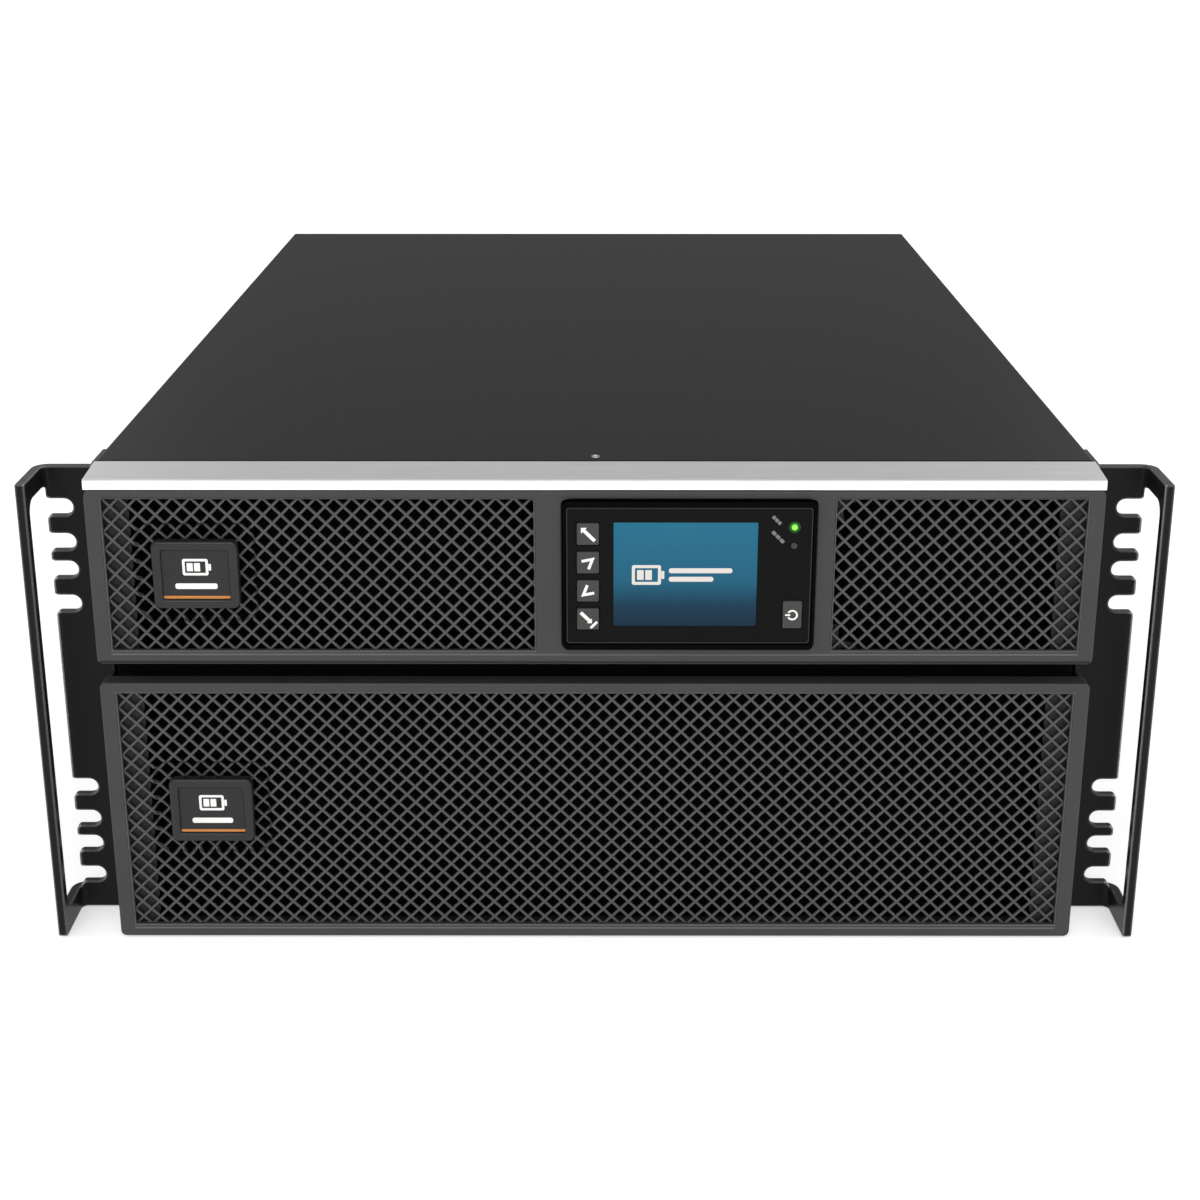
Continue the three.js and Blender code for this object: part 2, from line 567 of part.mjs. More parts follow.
// Hub with twisted blades, turning about y through the hub's middle.
function fanRotor(x) {
  const middle = (FAN.rotor[0] + FAN.rotor[1]) / 2;
  const sweep = rodY(FAN.tip, x, FAN.z, FAN.rotor, 16);
  const root = FAN.hub - 1.4;
  const blades = Array.from({ length: FAN.blades }, (_, i) => {
    const length = FAN.tip - FAN.hub + 1;
    const blade = new THREE.BoxGeometry(length, FAN.blade, FAN.chord);
    blade.rotateX(THREE.MathUtils.degToRad(FAN.pitch));
    blade.translate(root + length / 2, 0, 0);
    blade.rotateY((i / FAN.blades) * 2 * Math.PI);
    return solid(blade.translate(x, middle, FAN.z)).intersect(sweep);
  });
  return join(rodY(FAN.hub, x, FAN.z, FAN.rotor, 16), ...blades);
}

// Flat stamped finger guard: rings on a cross.
function fanGuard(x) {
  const ys = [PANEL.back + GAP, PANEL.back + GAP + GUARD.thick];
  const ring = (r) => cut(
    rodY(r, x, FAN.z, ys, 16), rodY(r - GUARD.band, x, FAN.z, THROUGH_REAR, 16),
  );
  const armX = box(about(x, GUARD.reachX), ys, about(FAN.z, GUARD.arm));
  const armZ = box(about(x, GUARD.arm), ys, about(FAN.z, GUARD.reachZ));
  return join(armX, armZ, ...GUARD.rings.map(ring), rodY(GUARD.centre, x, FAN.z, ys, 12));
}

function commCard() {
  const plate = box(COMM.plateX, [PANEL.back + GAP, PANEL.back + GAP + COMM.plate], COMM.plateZ);
  const card = box(grown(COMM.slotX, -1), [PANEL.back - COMM.depth, PANEL.back + 1], COMM.cardZ);
  const middle = (COMM.plateX[0] + COMM.plateX[1]) / 2;
  const grip = box(about(middle, COMM.gripWidth), [PANEL.back + 1, REAR_MOST], COMM.gripZ);
  return join(plate, card, grip);
}

// Block with a nine-pin port, a network port and a USB port side by side.
function portPanel() {
  const body = box(PORTS.x, [PANEL.front - PORTS.depth, PANEL.back + PORTS.proud], PORTS.z);
  const hole = ([x, width, height]) => box(
    about(x, width), [PORTS.holeFrom, REAR_MOST], about(PORTS.midZ, height),
  );
  return cut(body, ...PORT_SIZES.map(hole));
}

function distributionBox() {
  const pocket = ({ x, z, from }) => box(grown(x, GAP), [from, REAR_MOST], grown(z, GAP));
  return cut(box(MAINS.x, MAINS.y, MAINS.z), pocket(OUTLETS), pocket(TERMINALS));
}

// Four appliance outlets: each a recess with the contact island standing in it.
function outletBlock() {
  const body = box(OUTLETS.x, [OUTLETS.from + GAP, OUTLETS.face], OUTLETS.z);
  const [midX, midZ] = [OUTLETS.x, OUTLETS.z].map(([low, high]) => (low + high) / 2);
  const { apartX, apartZ, recess, island } = OUTLETS;
  const places = [-apartX, apartX].flatMap((dx) => [-apartZ, apartZ].map((dz) => [midX + dx, midZ + dz]));
  const floor = OUTLETS.face - OUTLETS.deep;
  const moat = ([x, z]) => cut(
    box(about(x, recess[0]), [floor, REAR_MOST], about(z, recess[1])),
    box(about(x, island[0]), [floor - 1, OUTLETS.islandFace], about(z, island[1])),
  );
  return cut(body, ...places.map(moat));
}

// Screwed cover with the bushing that the mains cable would come out of.
function terminalCover() {
  const x = (TERMINALS.x[0] + TERMINALS.x[1]) / 2;
  const plate = box(TERMINALS.x, TERMINALS.plate, TERMINALS.z);
  const bushing = rodY(BUSHING.outer, x, BUSHING.z, [BUSHING.from, REAR_MOST], 20);
  return cut(join(plate, bushing), rodY(BUSHING.bore, x, BUSHING.z, [BUSHING.from - 1, REAR_MOST + 1], 20));
}

// Rocking lever of a circuit breaker, on its barrel.
function breakerToggle(x) {
  const barrel = rodX(TOGGLE.barrel, TOGGLE.y, TOGGLE.z, about(x, TOGGLE.width), 16);
  const lever = new THREE.BoxGeometry(TOGGLE.width, TOGGLE.tip, TOGGLE.thick);
  lever.translate(0, TOGGLE.tip / 2, 0);
  lever.rotateX(THREE.MathUtils.degToRad(TOGGLE.tilt));
  return join(barrel, solid(lever.translate(x, TOGGLE.y, TOGGLE.z)));
}

// ---- nodes ----
add('chassis_tray', 'zincSteel', chassisTray());
add('top_cover', 'coverSteel', topCover());
add('mid_deck', 'zincSteel', deck());
add('bay_divider', 'zincSteel', divider());
add('front_plate', 'blackSteel', frontPlate());
add('rear_panel_upper', 'blackSteel', rearPanelUpper());
add('rear_panel_lower', 'blackSteel', rearPanelLower());

const rightEar = geometryOf(earRight());
add('ear_right', 'blackSteel', rightEar);
add('ear_left', 'blackSteel', mirrored(rightEar));

add('upper_bezel_frame', 'bezelGrey', upperBezelFrame());
const leftMesh = [-BEZEL.meshEdge - GRILLE.lapX, POST.left + GRILLE.lapX];
const rightMesh = [POST.right - GRILLE.lapX, BEZEL.meshEdge + GRILLE.lapX];
add('upper_grille_left', 'bezelGrey', dishedGrille(leftMesh, UPPER, BADGE_Z.upper));
add('upper_grille_right', 'bezelGrey', plainGrille(rightMesh, UPPER));
add('trim_strip', 'aluminium', trimStrip());
add('upper_badge', 'blackPlastic', badge(BADGE_Z.upper));
add('lower_bezel_frame', 'bezelGrey', lowerBezelFrame());
add('lower_grille', 'bezelGrey', dishedGrille([leftMesh[0], rightMesh[1]], LOWER, BADGE_Z.lower));
add('lower_badge', 'blackPlastic', badge(BADGE_Z.lower));

add('display_housing', 'glossBlack', displayHousing());
add('display_fascia', 'glossBlack', displayFascia());
add('display_screen', 'screenBlue', displayScreen());
add('display_board', 'board', box(DISPLAY_BOARD.x, DISPLAY_BOARD.y, DISPLAY_BOARD.z));
add('run_light', 'green', indicator(LIGHT.runZ));
add('alarm_light', 'greyLens', indicator(LIGHT.alarmZ));
for (const key of keys()) add(key.name, 'keyGrey', keyBody(key));

add('battery_door', 'blackSteel', batteryDoor());
const packPieces = [
  ['battery_tray', 'zincSteel', packTray()],
  ['battery_block', 'batteryGrey', packBlock()],
  ['pack_handle', 'blackPlastic', packHandle()],
  ['battery_plug', 'blackPlastic', packPlug()],
  ['battery_socket', 'blackPlastic', packSocket()],
];
for (const [name, finish, piece] of packPieces) {
  const geometry = geometryOf(piece);
  add(`${name}_right`, finish, geometry);
  add(`${name}_left`, finish, mirrored(geometry));
}

add('power_board', 'board', boardOnPosts(POWER_BOARD));
add('control_board', 'board', boardOnPosts(CONTROL_BOARD));
for (const [i, end] of ['front', 'rear'].entries()) {
  add(`capacitor_${end}`, 'blackPlastic', capacitor(CAPACITOR.ys[i]));
  add(`choke_${end}`, 'copper', choke(CHOKE.ys[i]));
}
for (const [i, side] of ['left', 'right'].entries()) {
  add(`heatsink_${side}`, 'aluminium', heatsink(HEATSINK.xs[i]));
  add(`fan_frame_${side}`, 'blackPlastic', fanFrame(FAN.xs[i]));
  add(`fan_rotor_${side}`, 'blackPlastic', fanRotor(FAN.xs[i]));
  add(`fan_guard_${side}`, 'zincSteel', fanGuard(FAN.xs[i]));
}
add('comm_card', 'blackSteel', commCard());
add('port_panel', 'blackPlastic', portPanel());
add('distribution_box', 'blackSteel', distributionBox());
add('outlet_block', 'blackPlastic', outletBlock());
add('terminal_cover', 'blackSteel', terminalCover());
add('input_breaker_toggle', 'blackPlastic', breakerToggle(TOGGLE.inputX));
add('output_breaker_toggle', 'blackPlastic', breakerToggle(TOGGLE.outputX));

export default assembly;
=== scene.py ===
"""Rack-mounted UPS: the visual model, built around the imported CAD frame.

Pieces are drawn in millimetres, with x to the right, z up from the base, and y counted back from
the front faces of the bezels, and become metres in the row frame when a piece is finished.
"""
import math

import bmesh
import bpy
from mathutils import Matrix, Vector


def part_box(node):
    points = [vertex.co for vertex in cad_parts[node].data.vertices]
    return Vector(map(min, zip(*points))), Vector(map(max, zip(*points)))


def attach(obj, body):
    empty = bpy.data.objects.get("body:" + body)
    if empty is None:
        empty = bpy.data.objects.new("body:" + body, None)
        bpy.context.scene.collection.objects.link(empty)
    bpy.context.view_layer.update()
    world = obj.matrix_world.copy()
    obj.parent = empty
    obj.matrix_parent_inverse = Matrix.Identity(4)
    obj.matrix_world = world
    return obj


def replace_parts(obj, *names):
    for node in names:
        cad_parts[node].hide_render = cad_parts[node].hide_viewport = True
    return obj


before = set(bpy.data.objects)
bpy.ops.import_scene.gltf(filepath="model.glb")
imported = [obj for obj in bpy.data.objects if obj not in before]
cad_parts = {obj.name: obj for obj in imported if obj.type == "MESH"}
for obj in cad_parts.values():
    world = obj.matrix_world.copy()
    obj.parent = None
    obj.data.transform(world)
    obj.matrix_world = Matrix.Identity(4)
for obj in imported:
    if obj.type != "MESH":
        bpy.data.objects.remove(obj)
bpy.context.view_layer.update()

# ---- driving dimensions, taken from the frame ----
MM = 0.001
FRONT_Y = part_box("upper_bezel_frame")[0].y
TO_ROW_FRAME = Matrix.Translation((0, FRONT_Y, 0)) @ Matrix.Scale(MM, 4)


def box_mm(node):
    """(low, high) corners of a CAD node in drawn millimetres."""
    return tuple((corner - Vector((0, FRONT_Y, 0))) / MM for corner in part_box(node))


def middle(node):
    low, high = box_mm(node)
    return (low + high) / 2


COVER_HIGH = box_mm("top_cover")[1]
PANEL_Y = box_mm("rear_panel_upper")[1].y  # outer face of the rear panels
MESH_PITCH = 7.58  # width and height of one diamond of the mesh
MESH_Z = {"upper": 172.6, "lower": 61.9}  # heights of a row of crossings; one stands at x = 0
BAR_HALF = 0.62  # half width of a mesh bar
BAR_DEPTH = 1.1
BACKING_Y = (4.45, 6.0)  # front and back of the plates behind the meshes
EAR_FLANGE_X = 218.0  # outer faces of the flanges that hold the ears
TERMINAL_PLATE_Y = 626.0  # outer face of the terminal cover's plate
BUSHING_Z = 48.0
BREAKER_Z = 80.0
CARD_PLATE_Y = PANEL_Y + 1.8  # outer face of the communication card's plate
GRILLES = {"upper": ("upper_grille_left", "upper_grille_right"), "lower": ("lower_grille",)}
GRILLE_LAP = Vector((2.5, 0, 1.2))  # how far a grille reaches behind the edges of its opening
DISH = {"width": 26.0, "height": 22.6, "corner": 7.0, "depth": 2.4, "wall": 1.8}  # half sizes


# ---- meshes ----
def finish_piece(name, bm, material, body, crease=35):
    """Turns a drawn bmesh into a piece in the row frame that rides on a body."""
    bm.transform(TO_ROW_FRAME)
    bmesh.ops.recalc_face_normals(bm, faces=bm.faces)
    mesh = bpy.data.meshes.new(name)
    bm.to_mesh(mesh)
    bm.free()
    mesh.materials.append(material)
    mesh.shade_smooth()
    mesh.set_sharp_from_angle(angle=math.radians(crease))
    made = bpy.data.objects.new(name, mesh)
    bpy.context.scene.collection.objects.link(made)
    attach(made, body)
    return made


def rounded_edges(bm, faces, width, segments=2, angle=30):
    edges = {
        edge for face in faces for edge in face.edges
        if edge.is_manifold and edge.calc_face_angle(0) > math.radians(angle)
    }
    if width > 0 and edges:
        bmesh.ops.bevel(
            bm, geom=list(edges), offset=width, segments=segments, profile=0.5,
            affect="EDGES", clamp_overlap=True,
        )


def merge(bm, part):
    """Adds a finished part to a piece."""
    mesh = bpy.data.meshes.new("part")
    part.to_mesh(mesh)
    part.free()
    bm.from_mesh(mesh)
    bpy.data.meshes.remove(mesh)


def add_box(bm, xs, ys, zs, bevel=0.0, segments=2):
    part = bmesh.new()
    size = [high - low for low, high in (xs, ys, zs)]
    centre = [(high + low) / 2 for low, high in (xs, ys, zs)]
    bmesh.ops.create_cube(part, size=1, matrix=Matrix.Translation(centre) @ Matrix.Diagonal((*size, 1)))
    rounded_edges(part, part.faces, bevel, segments)
    merge(bm, part)


AXES = {
    "x": Vector((1, 0, 0)), "-x": Vector((-1, 0, 0)), "y": Vector((0, 1, 0)), "-y": Vector((0, -1, 0)),
    "z": Vector((0, 0, 1)),
}


def turned(axis):
    """The rotation that takes +Z onto an axis."""
    return AXES[axis].to_track_quat("Z", "Y").to_matrix().to_4x4()


def add_lathe(bm, centre, axis, profile, sides=24):
    """A body of revolution; profile lists (radius, height) from the axis back to the axis."""
    part = bmesh.new()
    rings = []
    for radius, height in profile:
        if radius == 0:
            rings.append([part.verts.new((0, 0, height))])
            continue
        angles = [2 * math.pi * i / sides for i in range(sides)]
        rings.append([part.verts.new((radius * math.cos(a), radius * math.sin(a), height)) for a in angles])
    for low, high in zip(rings, rings[1:]):
        for i in range(sides):
            j = i + 1
            corners = [low[i % len(low)], low[j % len(low)], high[j % len(high)], high[i % len(high)]]
            part.faces.new(list(dict.fromkeys(corners)))
    part.transform(Matrix.Translation(centre) @ turned(axis))
    merge(bm, part)


def rod_profile(radius, length, bevel=0.3):
    inner = radius - bevel
    return [(0, 0), (inner, 0), (radius, bevel), (radius, length - bevel), (inner, length), (0, length)]


def add_rod(bm, centre, axis, radius, length, sides=24, bevel=0.3):
    add_lathe(bm, centre, axis, rod_profile(radius, length, bevel), sides)


def add_tube(bm, points, radius, sides=8, closed=False):
    """A round wire along points."""
    part = bmesh.new()
    points = [Vector(p) for p in points]
    count = len(points)
    rings = []
    normal = None
    for i, point in enumerate(points):
        ahead = points[(i + 1) % count] if closed or i + 1 < count else point
        behind = points[i - 1] if closed or i else point
        along = (ahead - behind).normalized()
        if normal is None:
            normal = along.orthogonal().normalized()
        normal = (normal - along * normal.dot(along)).normalized()
        side = along.cross(normal)
        angles = [2 * math.pi * k / sides for k in range(sides)]
        spokes = [normal * math.cos(a) + side * math.sin(a) for a in angles]
        rings.append([part.verts.new(point + radius * spoke) for spoke in spokes])
    pairs = list(zip(rings, rings[1:])) + ([(rings[-1], rings[0])] if closed else [])
    for low, high in pairs:
        for k in range(sides):
            part.faces.new((low[k], low[(k + 1) % sides], high[(k + 1) % sides], high[k]))
    if not closed:
        part.faces.new(rings[0])
        part.faces.new(rings[-1])
    merge(bm, part)


def add_plate(bm, outline, ys, holes=(), bevel=0.0, segments=2, place=None):
    """A plate drawn in x and z, with holes, between two depths."""
    part = bmesh.new()
    edges = []
    for loop in (outline, *holes):
        corners = [part.verts.new((x, ys[0], z)) for x, z in loop]
        edges += [part.edges.new(pair) for pair in zip(corners, corners[1:] + corners[:1])]
    bmesh.ops.triangle_fill(part, edges=edges, use_beauty=True, normal=(0, -1, 0))
    if not holes:
        bmesh.ops.dissolve_faces(part, faces=part.faces)
    lifted = bmesh.ops.extrude_face_region(part, geom=part.faces[:])["geom"]
    back = [v for v in lifted if isinstance(v, bmesh.types.BMVert)]
    bmesh.ops.translate(part, verts=back, vec=(0, ys[1] - ys[0], 0))
    bmesh.ops.recalc_face_normals(part, faces=part.faces)
    rounded_edges(part, part.faces, bevel, segments, 50)
    if place:
        part.transform(place)
    merge(bm, part)


def arc(x, z, radius, start, end, steps):
    angles = [math.radians(start + (end - start) * i / steps) for i in range(steps + 1)]
    return [(x + radius * math.cos(a), z + radius * math.sin(a)) for a in angles]


def circle(x, z, radius, steps=24):
    return arc(x, z, radius, 0, 360, steps)[:-1]


def rounded_rect(x0, x1, z0, z1, r, steps=5):
    return (
        arc(x1 - r, z0 + r, r, -90, 0, steps) + arc(x1 - r, z1 - r, r, 0, 90, steps)
        + arc(x0 + r, z1 - r, r, 90, 180, steps) + arc(x0 + r, z0 + r, r, 180, 270, steps)
    )


def printed(face, proud=0.12):
    """Front and back of a sign printed on a face that looks forward."""
    return (face - proud, face + 0.1)


def tilted(points, x, z, degrees):
    """Points drawn about the origin, turned and put at a place."""
    c, s = math.cos(math.radians(degrees)), math.sin(math.radians(degrees))
    return [(x + c * u - s * v, z + s * u + c * v) for u, v in points]


# ---- materials ----
class Paint:
    """A material being built: its principled shader, and the nodes that vary it."""

    def __init__(self, name, colour, roughness, metallic=0.0, specular=0.5):
        self.material = bpy.data.materials.new(name)
        self.material.use_nodes = True
        self.nodes = self.material.node_tree.nodes
        self.links = self.material.node_tree.links
        self.shader = self.nodes["Principled BSDF"]
        self.colour = colour
        self.shader.inputs["Base Color"].default_value = (*colour, 1)
        self.shader.inputs["Roughness"].default_value = roughness
        self.shader.inputs["Metallic"].default_value = metallic
        self.shader.inputs["Specular IOR Level"].default_value = specular
        self.roughness = roughness
        self.shade = None

    def noise(self, size, detail=2.0, stretch=(1, 1, 1)):
        """Noise in the object's own space, with features of about this many millimetres."""
        coords = self.nodes.new("ShaderNodeTexCoord")
        mapping = self.nodes.new("ShaderNodeMapping")
        mapping.inputs["Scale"].default_value = [1 / (size * MM * s) for s in stretch]
        texture = self.nodes.new("ShaderNodeTexNoise")
        texture.inputs["Scale"].default_value = 1
        texture.inputs["Detail"].default_value = detail
        self.links.new(coords.outputs["Object"], mapping.inputs["Vector"])
        self.links.new(mapping.outputs["Vector"], texture.inputs["Vector"])
        return texture.outputs["Fac"]

    def spread(self, value, low, high, start=0.3, end=0.7):
        """Maps a value from start..end to low..high."""
        node = self.nodes.new("ShaderNodeMapRange")
        node.inputs["From Min"].default_value = start
        node.inputs["From Max"].default_value = end
        node.inputs["To Min"].default_value = low
        node.inputs["To Max"].default_value = high
        self.links.new(value, node.inputs["Value"])
        return node.outputs["Result"]

    def mottle(self, value, amount):
        """Lightens and darkens the colour by this share, following value."""
        node = self.nodes.new("ShaderNodeMix")
        node.data_type = "RGBA"
        node.inputs["A"].default_value = (*[c * (1 - amount) for c in self.colour], 1)
        node.inputs["B"].default_value = (*[c * (1 + amount) for c in self.colour], 1)
        self.links.new(self.spread(value, 0, 1), node.inputs["Factor"])
        self.shade = node.outputs["Result"]
        self.links.new(self.shade, self.shader.inputs["Base Color"])

    def dull(self, value, amount):
        """Varies the roughness either way by this much."""
        rough = self.spread(value, self.roughness - amount, self.roughness + amount)
        self.links.new(rough, self.shader.inputs["Roughness"])

    def grain(self, value, height):
        """Surface relief of this many millimetres."""
        node = self.nodes.new("ShaderNodeBump")
        node.inputs["Strength"].default_value = 1
        node.inputs["Distance"].default_value = height * MM
        self.links.new(value, node.inputs["Height"])
        self.links.new(node.outputs["Normal"], self.shader.inputs["Normal"])

    def painted_edge_highlight(self, colour, radius=0.8, amount=0.5):
        """Painted highlight: mixes a lighter colour in where the surface turns within this many millimetres,
        as if the edges caught the light.
        """
        rounded = self.nodes.new("ShaderNodeBevel")
        rounded.samples = 4
        rounded.inputs["Radius"].default_value = radius * MM
        geometry = self.nodes.new("ShaderNodeNewGeometry")
        same = self.nodes.new("ShaderNodeVectorMath")
        same.operation = "DOT_PRODUCT"
        self.links.new(rounded.outputs["Normal"], same.inputs[0])
        self.links.new(geometry.outputs["Normal"], same.inputs[1])
        highlight_share = self.spread(same.outputs["Value"], amount, 0, 0.9, 0.99)
        node = self.nodes.new("ShaderNodeMix")
        node.data_type = "RGBA"
        node.inputs["B"].default_value = (*colour, 1)
        self.links.new(self.shade, node.inputs["A"])
        self.links.new(highlight_share, node.inputs["Factor"])
        self.links.new(node.outputs["Result"], self.shader.inputs["Base Color"])

    def glow(self, colour, strength):
        self.shader.inputs["Emission Color"].default_value = (*colour, 1)
        self.shader.inputs["Emission Strength"].default_value = strength


def moulded(name, colour, roughness, specular=0.5, grain=0.02, size=0.5):
    """Moulded plastic: fine grain, slight colour and gloss variation."""
    paint = Paint(name, colour, roughness, specular=specular)
    paint.mottle(paint.noise(18, 3), 0.06)
    paint.dull(paint.noise(6, 2), 0.05)
    paint.grain(paint.noise(size, 2), grain)
    return paint


def powder_coat(name, colour, roughness, specular, grain=0.05):
    """Powder coat on steel: fine orange peel with tiny lighter specks."""
    paint = Paint(name, colour, roughness, specular=specular)
    paint.mottle(paint.noise(0.9, 4), 0.22)
    paint.dull(paint.noise(1.2, 3), 0.03)
    paint.grain(paint.noise(0.8, 3), grain)
    return paint


def metal(name, colour, roughness, size=1.5, stretch=(1, 1, 1), amount=0.08, grain=0.004):
    paint = Paint(name, colour, roughness, metallic=1.0)
    streaks = paint.noise(size, 3, stretch)
    paint.mottle(streaks, amount)
    paint.dull(streaks, 0.06)
    paint.grain(streaks, grain)
    return paint


def make_materials():
    made = {
        "bezel": moulded("bezel_plastic", (0.031, 0.031, 0.0302), 0.44, 0.38, 0.012),
        # The sills get a lighter copy of the bezel plastic: painted highlight on their upward chamfers.
        "sill": moulded("sill_plastic_painted_highlight", (0.085, 0.085, 0.083), 0.4, 0.4, 0.010),
        "ear": powder_coat("ear_paint", (0.0085, 0.0085, 0.008), 0.34, 0.10, 0.02),
        "cover": powder_coat("cover_coat", (0.012, 0.012, 0.0116), 0.42, 0.06, 0.03),
        "black": powder_coat("black_coat", (0.011, 0.011, 0.011), 0.5, 0.3, 0.03),
        # Darker copy of the black coat for the parts behind the bezels: painted shade.
        "painted_shade_black": powder_coat("black_coat_painted_shade", (0.003, 0.003, 0.003), 0.6, 0.08, 0.03),
        "zinc": metal("zinc_plate", (0.52, 0.53, 0.54), 0.38, size=9, amount=0.16),
        "brushed": metal("brushed_aluminium", (0.93, 0.93, 0.93), 0.34, 0.5, (60, 1, 1), 0.05),
        "extrusion": metal("extruded_aluminium", (0.66, 0.67, 0.68), 0.36, 0.8, (1, 60, 1), 0.07),
        "brass": metal("brass", (0.70, 0.50, 0.22), 0.3),
        "steel": metal("screw_steel", (0.45, 0.45, 0.45), 0.32),
        "mesh": moulded("mesh_plastic", (0.050, 0.050, 0.048), 0.34, grain=0.008),
        "dark": moulded("backing_plastic", (0.013, 0.013, 0.0126), 0.5, 0.2, 0.008),
        "badge": moulded("badge_rim", (0.012, 0.012, 0.012), 0.26, 0.35, 0.003),
        "panel": moulded("badge_panel", (0.022, 0.022, 0.023), 0.42, 0.2, 0.003),
        "gloss": moulded("gloss_black", (0.0052, 0.0052, 0.0050), 0.2, 0.05, 0.001, 2),
        "jet": moulded("jet_black", (0.0008, 0.0008, 0.0008), 0.3, 0.03, 0.001, 2),
        # Lighter grey for the ring round the fascia: painted highlight.
        "edge": moulded("fascia_edge_painted_highlight", (0.026, 0.026, 0.026), 0.3, 0.2, 0.001, 2),
        "key": moulded("key_rubber", (0.041, 0.041, 0.040), 0.5, 0.3, 0.012, 0.35),
        # Near-black foam: painted shade behind the meshes.
        "foam": moulded("filter_foam_painted_shade", (0.0022, 0.0022, 0.0022), 0.95, 0.02, 0.5, 0.8),
        "plastic": moulded("black_plastic", (0.015, 0.015, 0.015), 0.5, 0.4, 0.02),
        "case": moulded("battery_case", (0.085, 0.092, 0.098), 0.5, 0.4, 0.03),
        "white": moulded("white_print", (0.78, 0.78, 0.76), 0.5, 0.3, 0.002),
        "grey": moulded("grey_print", (0.16, 0.16, 0.155), 0.5, 0.3, 0.002),
        "orange": moulded("orange_stripe", (0.52, 0.20, 0.045), 0.45, 0.3, 0.002),
        "red": moulded("red_lead", (0.42, 0.02, 0.015), 0.45, 0.4, 0.01),
        "lens": moulded("grey_lens", (0.030, 0.030, 0.029), 0.25, 0.3, 0.002),
        "symbol": glowing("screen_symbol", (0.62, 0.58, 0.54), 0.95),
        "halo": glowing("green_halo_painted_glow", (0.010, 0.09, 0.005), 0.5),
        "board": circuit_board(),
        "copper": copper_winding(),
        "screen": lit_screen(),
        "green": lit_lens(),
    }
    # Painted highlights along the rounded edges of the bezels, ears, badge rims and keys.
    made["bezel"].painted_edge_highlight((0.16, 0.16, 0.157), 0.45, 0.85)
    made["ear"].painted_edge_highlight((0.45, 0.45, 0.44), 1.0, 0.9)
    made["badge"].painted_edge_highlight((0.15, 0.15, 0.15), 0.35, 0.8)
    made["key"].painted_edge_highlight((0.16, 0.16, 0.158), 0.45, 0.9)
    return {name: paint.material for name, paint in made.items()}


def glowing(name, colour, strength):
    paint = Paint(name, [c * 0.3 for c in colour], 0.3, specular=0.2)
    paint.glow(colour, strength)
    paint.dull(paint.noise(4, 2), 0.05)
    return paint


def lit_lens():
    """Lit green lens: almost white in the middle, deep green at its rim."""
    paint = Paint("green_lens", (0.02, 0.20, 0.01), 0.2, specular=0.3)
    low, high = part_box("run_light")
    coords = paint.nodes.new("ShaderNodeTexCoord")
    apart = paint.nodes.new("ShaderNodeVectorMath")
    apart.operation = "DISTANCE"
    apart.inputs[1].default_value = ((low.x + high.x) / 2, low.y, (low.z + high.z) / 2)
    paint.links.new(coords.outputs["Object"], apart.inputs[0])
    share = paint.spread(apart.outputs["Value"], 0, 1, 0, (high.x - low.x) / 2)
    ramp = paint.nodes.new("ShaderNodeValToRGB")
    fill_ramp(ramp, [(0.0, (0.74, 1.0, 0.30)), (0.55, (0.36, 0.95, 0.10)), (1.0, (0.03, 0.30, 0.01))])
    paint.links.new(share, ramp.inputs["Fac"])
    paint.links.new(ramp.outputs["Color"], paint.shader.inputs["Emission Color"])
    paint.shader.inputs["Emission Strength"].default_value = 1
    return paint


def fill_ramp(ramp, stops):
    while len(ramp.color_ramp.elements) < len(stops):
        ramp.color_ramp.elements.new(0.5)
    for element, (place, colour) in zip(ramp.color_ramp.elements, stops):
        element.position = place
        element.color = (*colour, 1)


def lit_screen():
    """Lit display behind glass: blue that fades to navy over its lower half."""
    paint = Paint("screen_light", (0.003, 0.004, 0.006), 0.12, specular=0.08)
    low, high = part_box("display_screen")
    coords = paint.nodes.new("ShaderNodeTexCoord")
    split = paint.nodes.new("ShaderNodeSeparateXYZ")
    paint.links.new(coords.outputs["Object"], split.inputs["Vector"])
    height = paint.spread(split.outputs["Z"], 0, 1, low.z, high.z)
    ramp = paint.nodes.new("ShaderNodeValToRGB")
    stops = [(0.0, (0.006, 0.021, 0.044)), (0.22, (0.008, 0.043, 0.080)), (0.45, (0.015, 0.125, 0.212)),
             (1.0, (0.020, 0.170, 0.278))]
    fill_ramp(ramp, stops)
    paint.links.new(height, ramp.inputs["Fac"])
    paint.links.new(ramp.outputs["Color"], paint.shader.inputs["Emission Color"])
    paint.shader.inputs["Emission Strength"].default_value = 1
    return paint


def circuit_board():
    """Green solder mask over faint copper tracks."""
    paint = Paint("circuit_board", (0.010, 0.075, 0.026), 0.35)
    coords = paint.nodes.new("ShaderNodeTexCoord")
    bricks = paint.nodes.new("ShaderNodeTexBrick")
    bricks.inputs["Scale"].default_value = 160
    bricks.inputs["Mortar Size"].default_value = 0.03
    bricks.inputs["Color1"].default_value = (0.009, 0.070, 0.024, 1)
    bricks.inputs["Color2"].default_value = (0.011, 0.080, 0.028, 1)
    bricks.inputs["Mortar"].default_value = (0.025, 0.15, 0.05, 1)
    paint.links.new(coords.outputs["Object"], bricks.inputs["Vector"])
    paint.links.new(bricks.outputs["Color"], paint.shader.inputs["Base Color"])
    paint.dull(paint.noise(5, 2), 0.08)
    return paint


def copper_winding():
    """Enamelled wire wound side by side."""
    paint = Paint("copper_winding", (0.50, 0.20, 0.07), 0.3, metallic=0.9)
    paint.mottle(paint.noise(1.4, 1, (1, 1, 8)), 0.35)
    paint.grain(paint.noise(1.4, 1, (1, 1, 8)), 0.3)
    return paint


LOOK = make_materials()


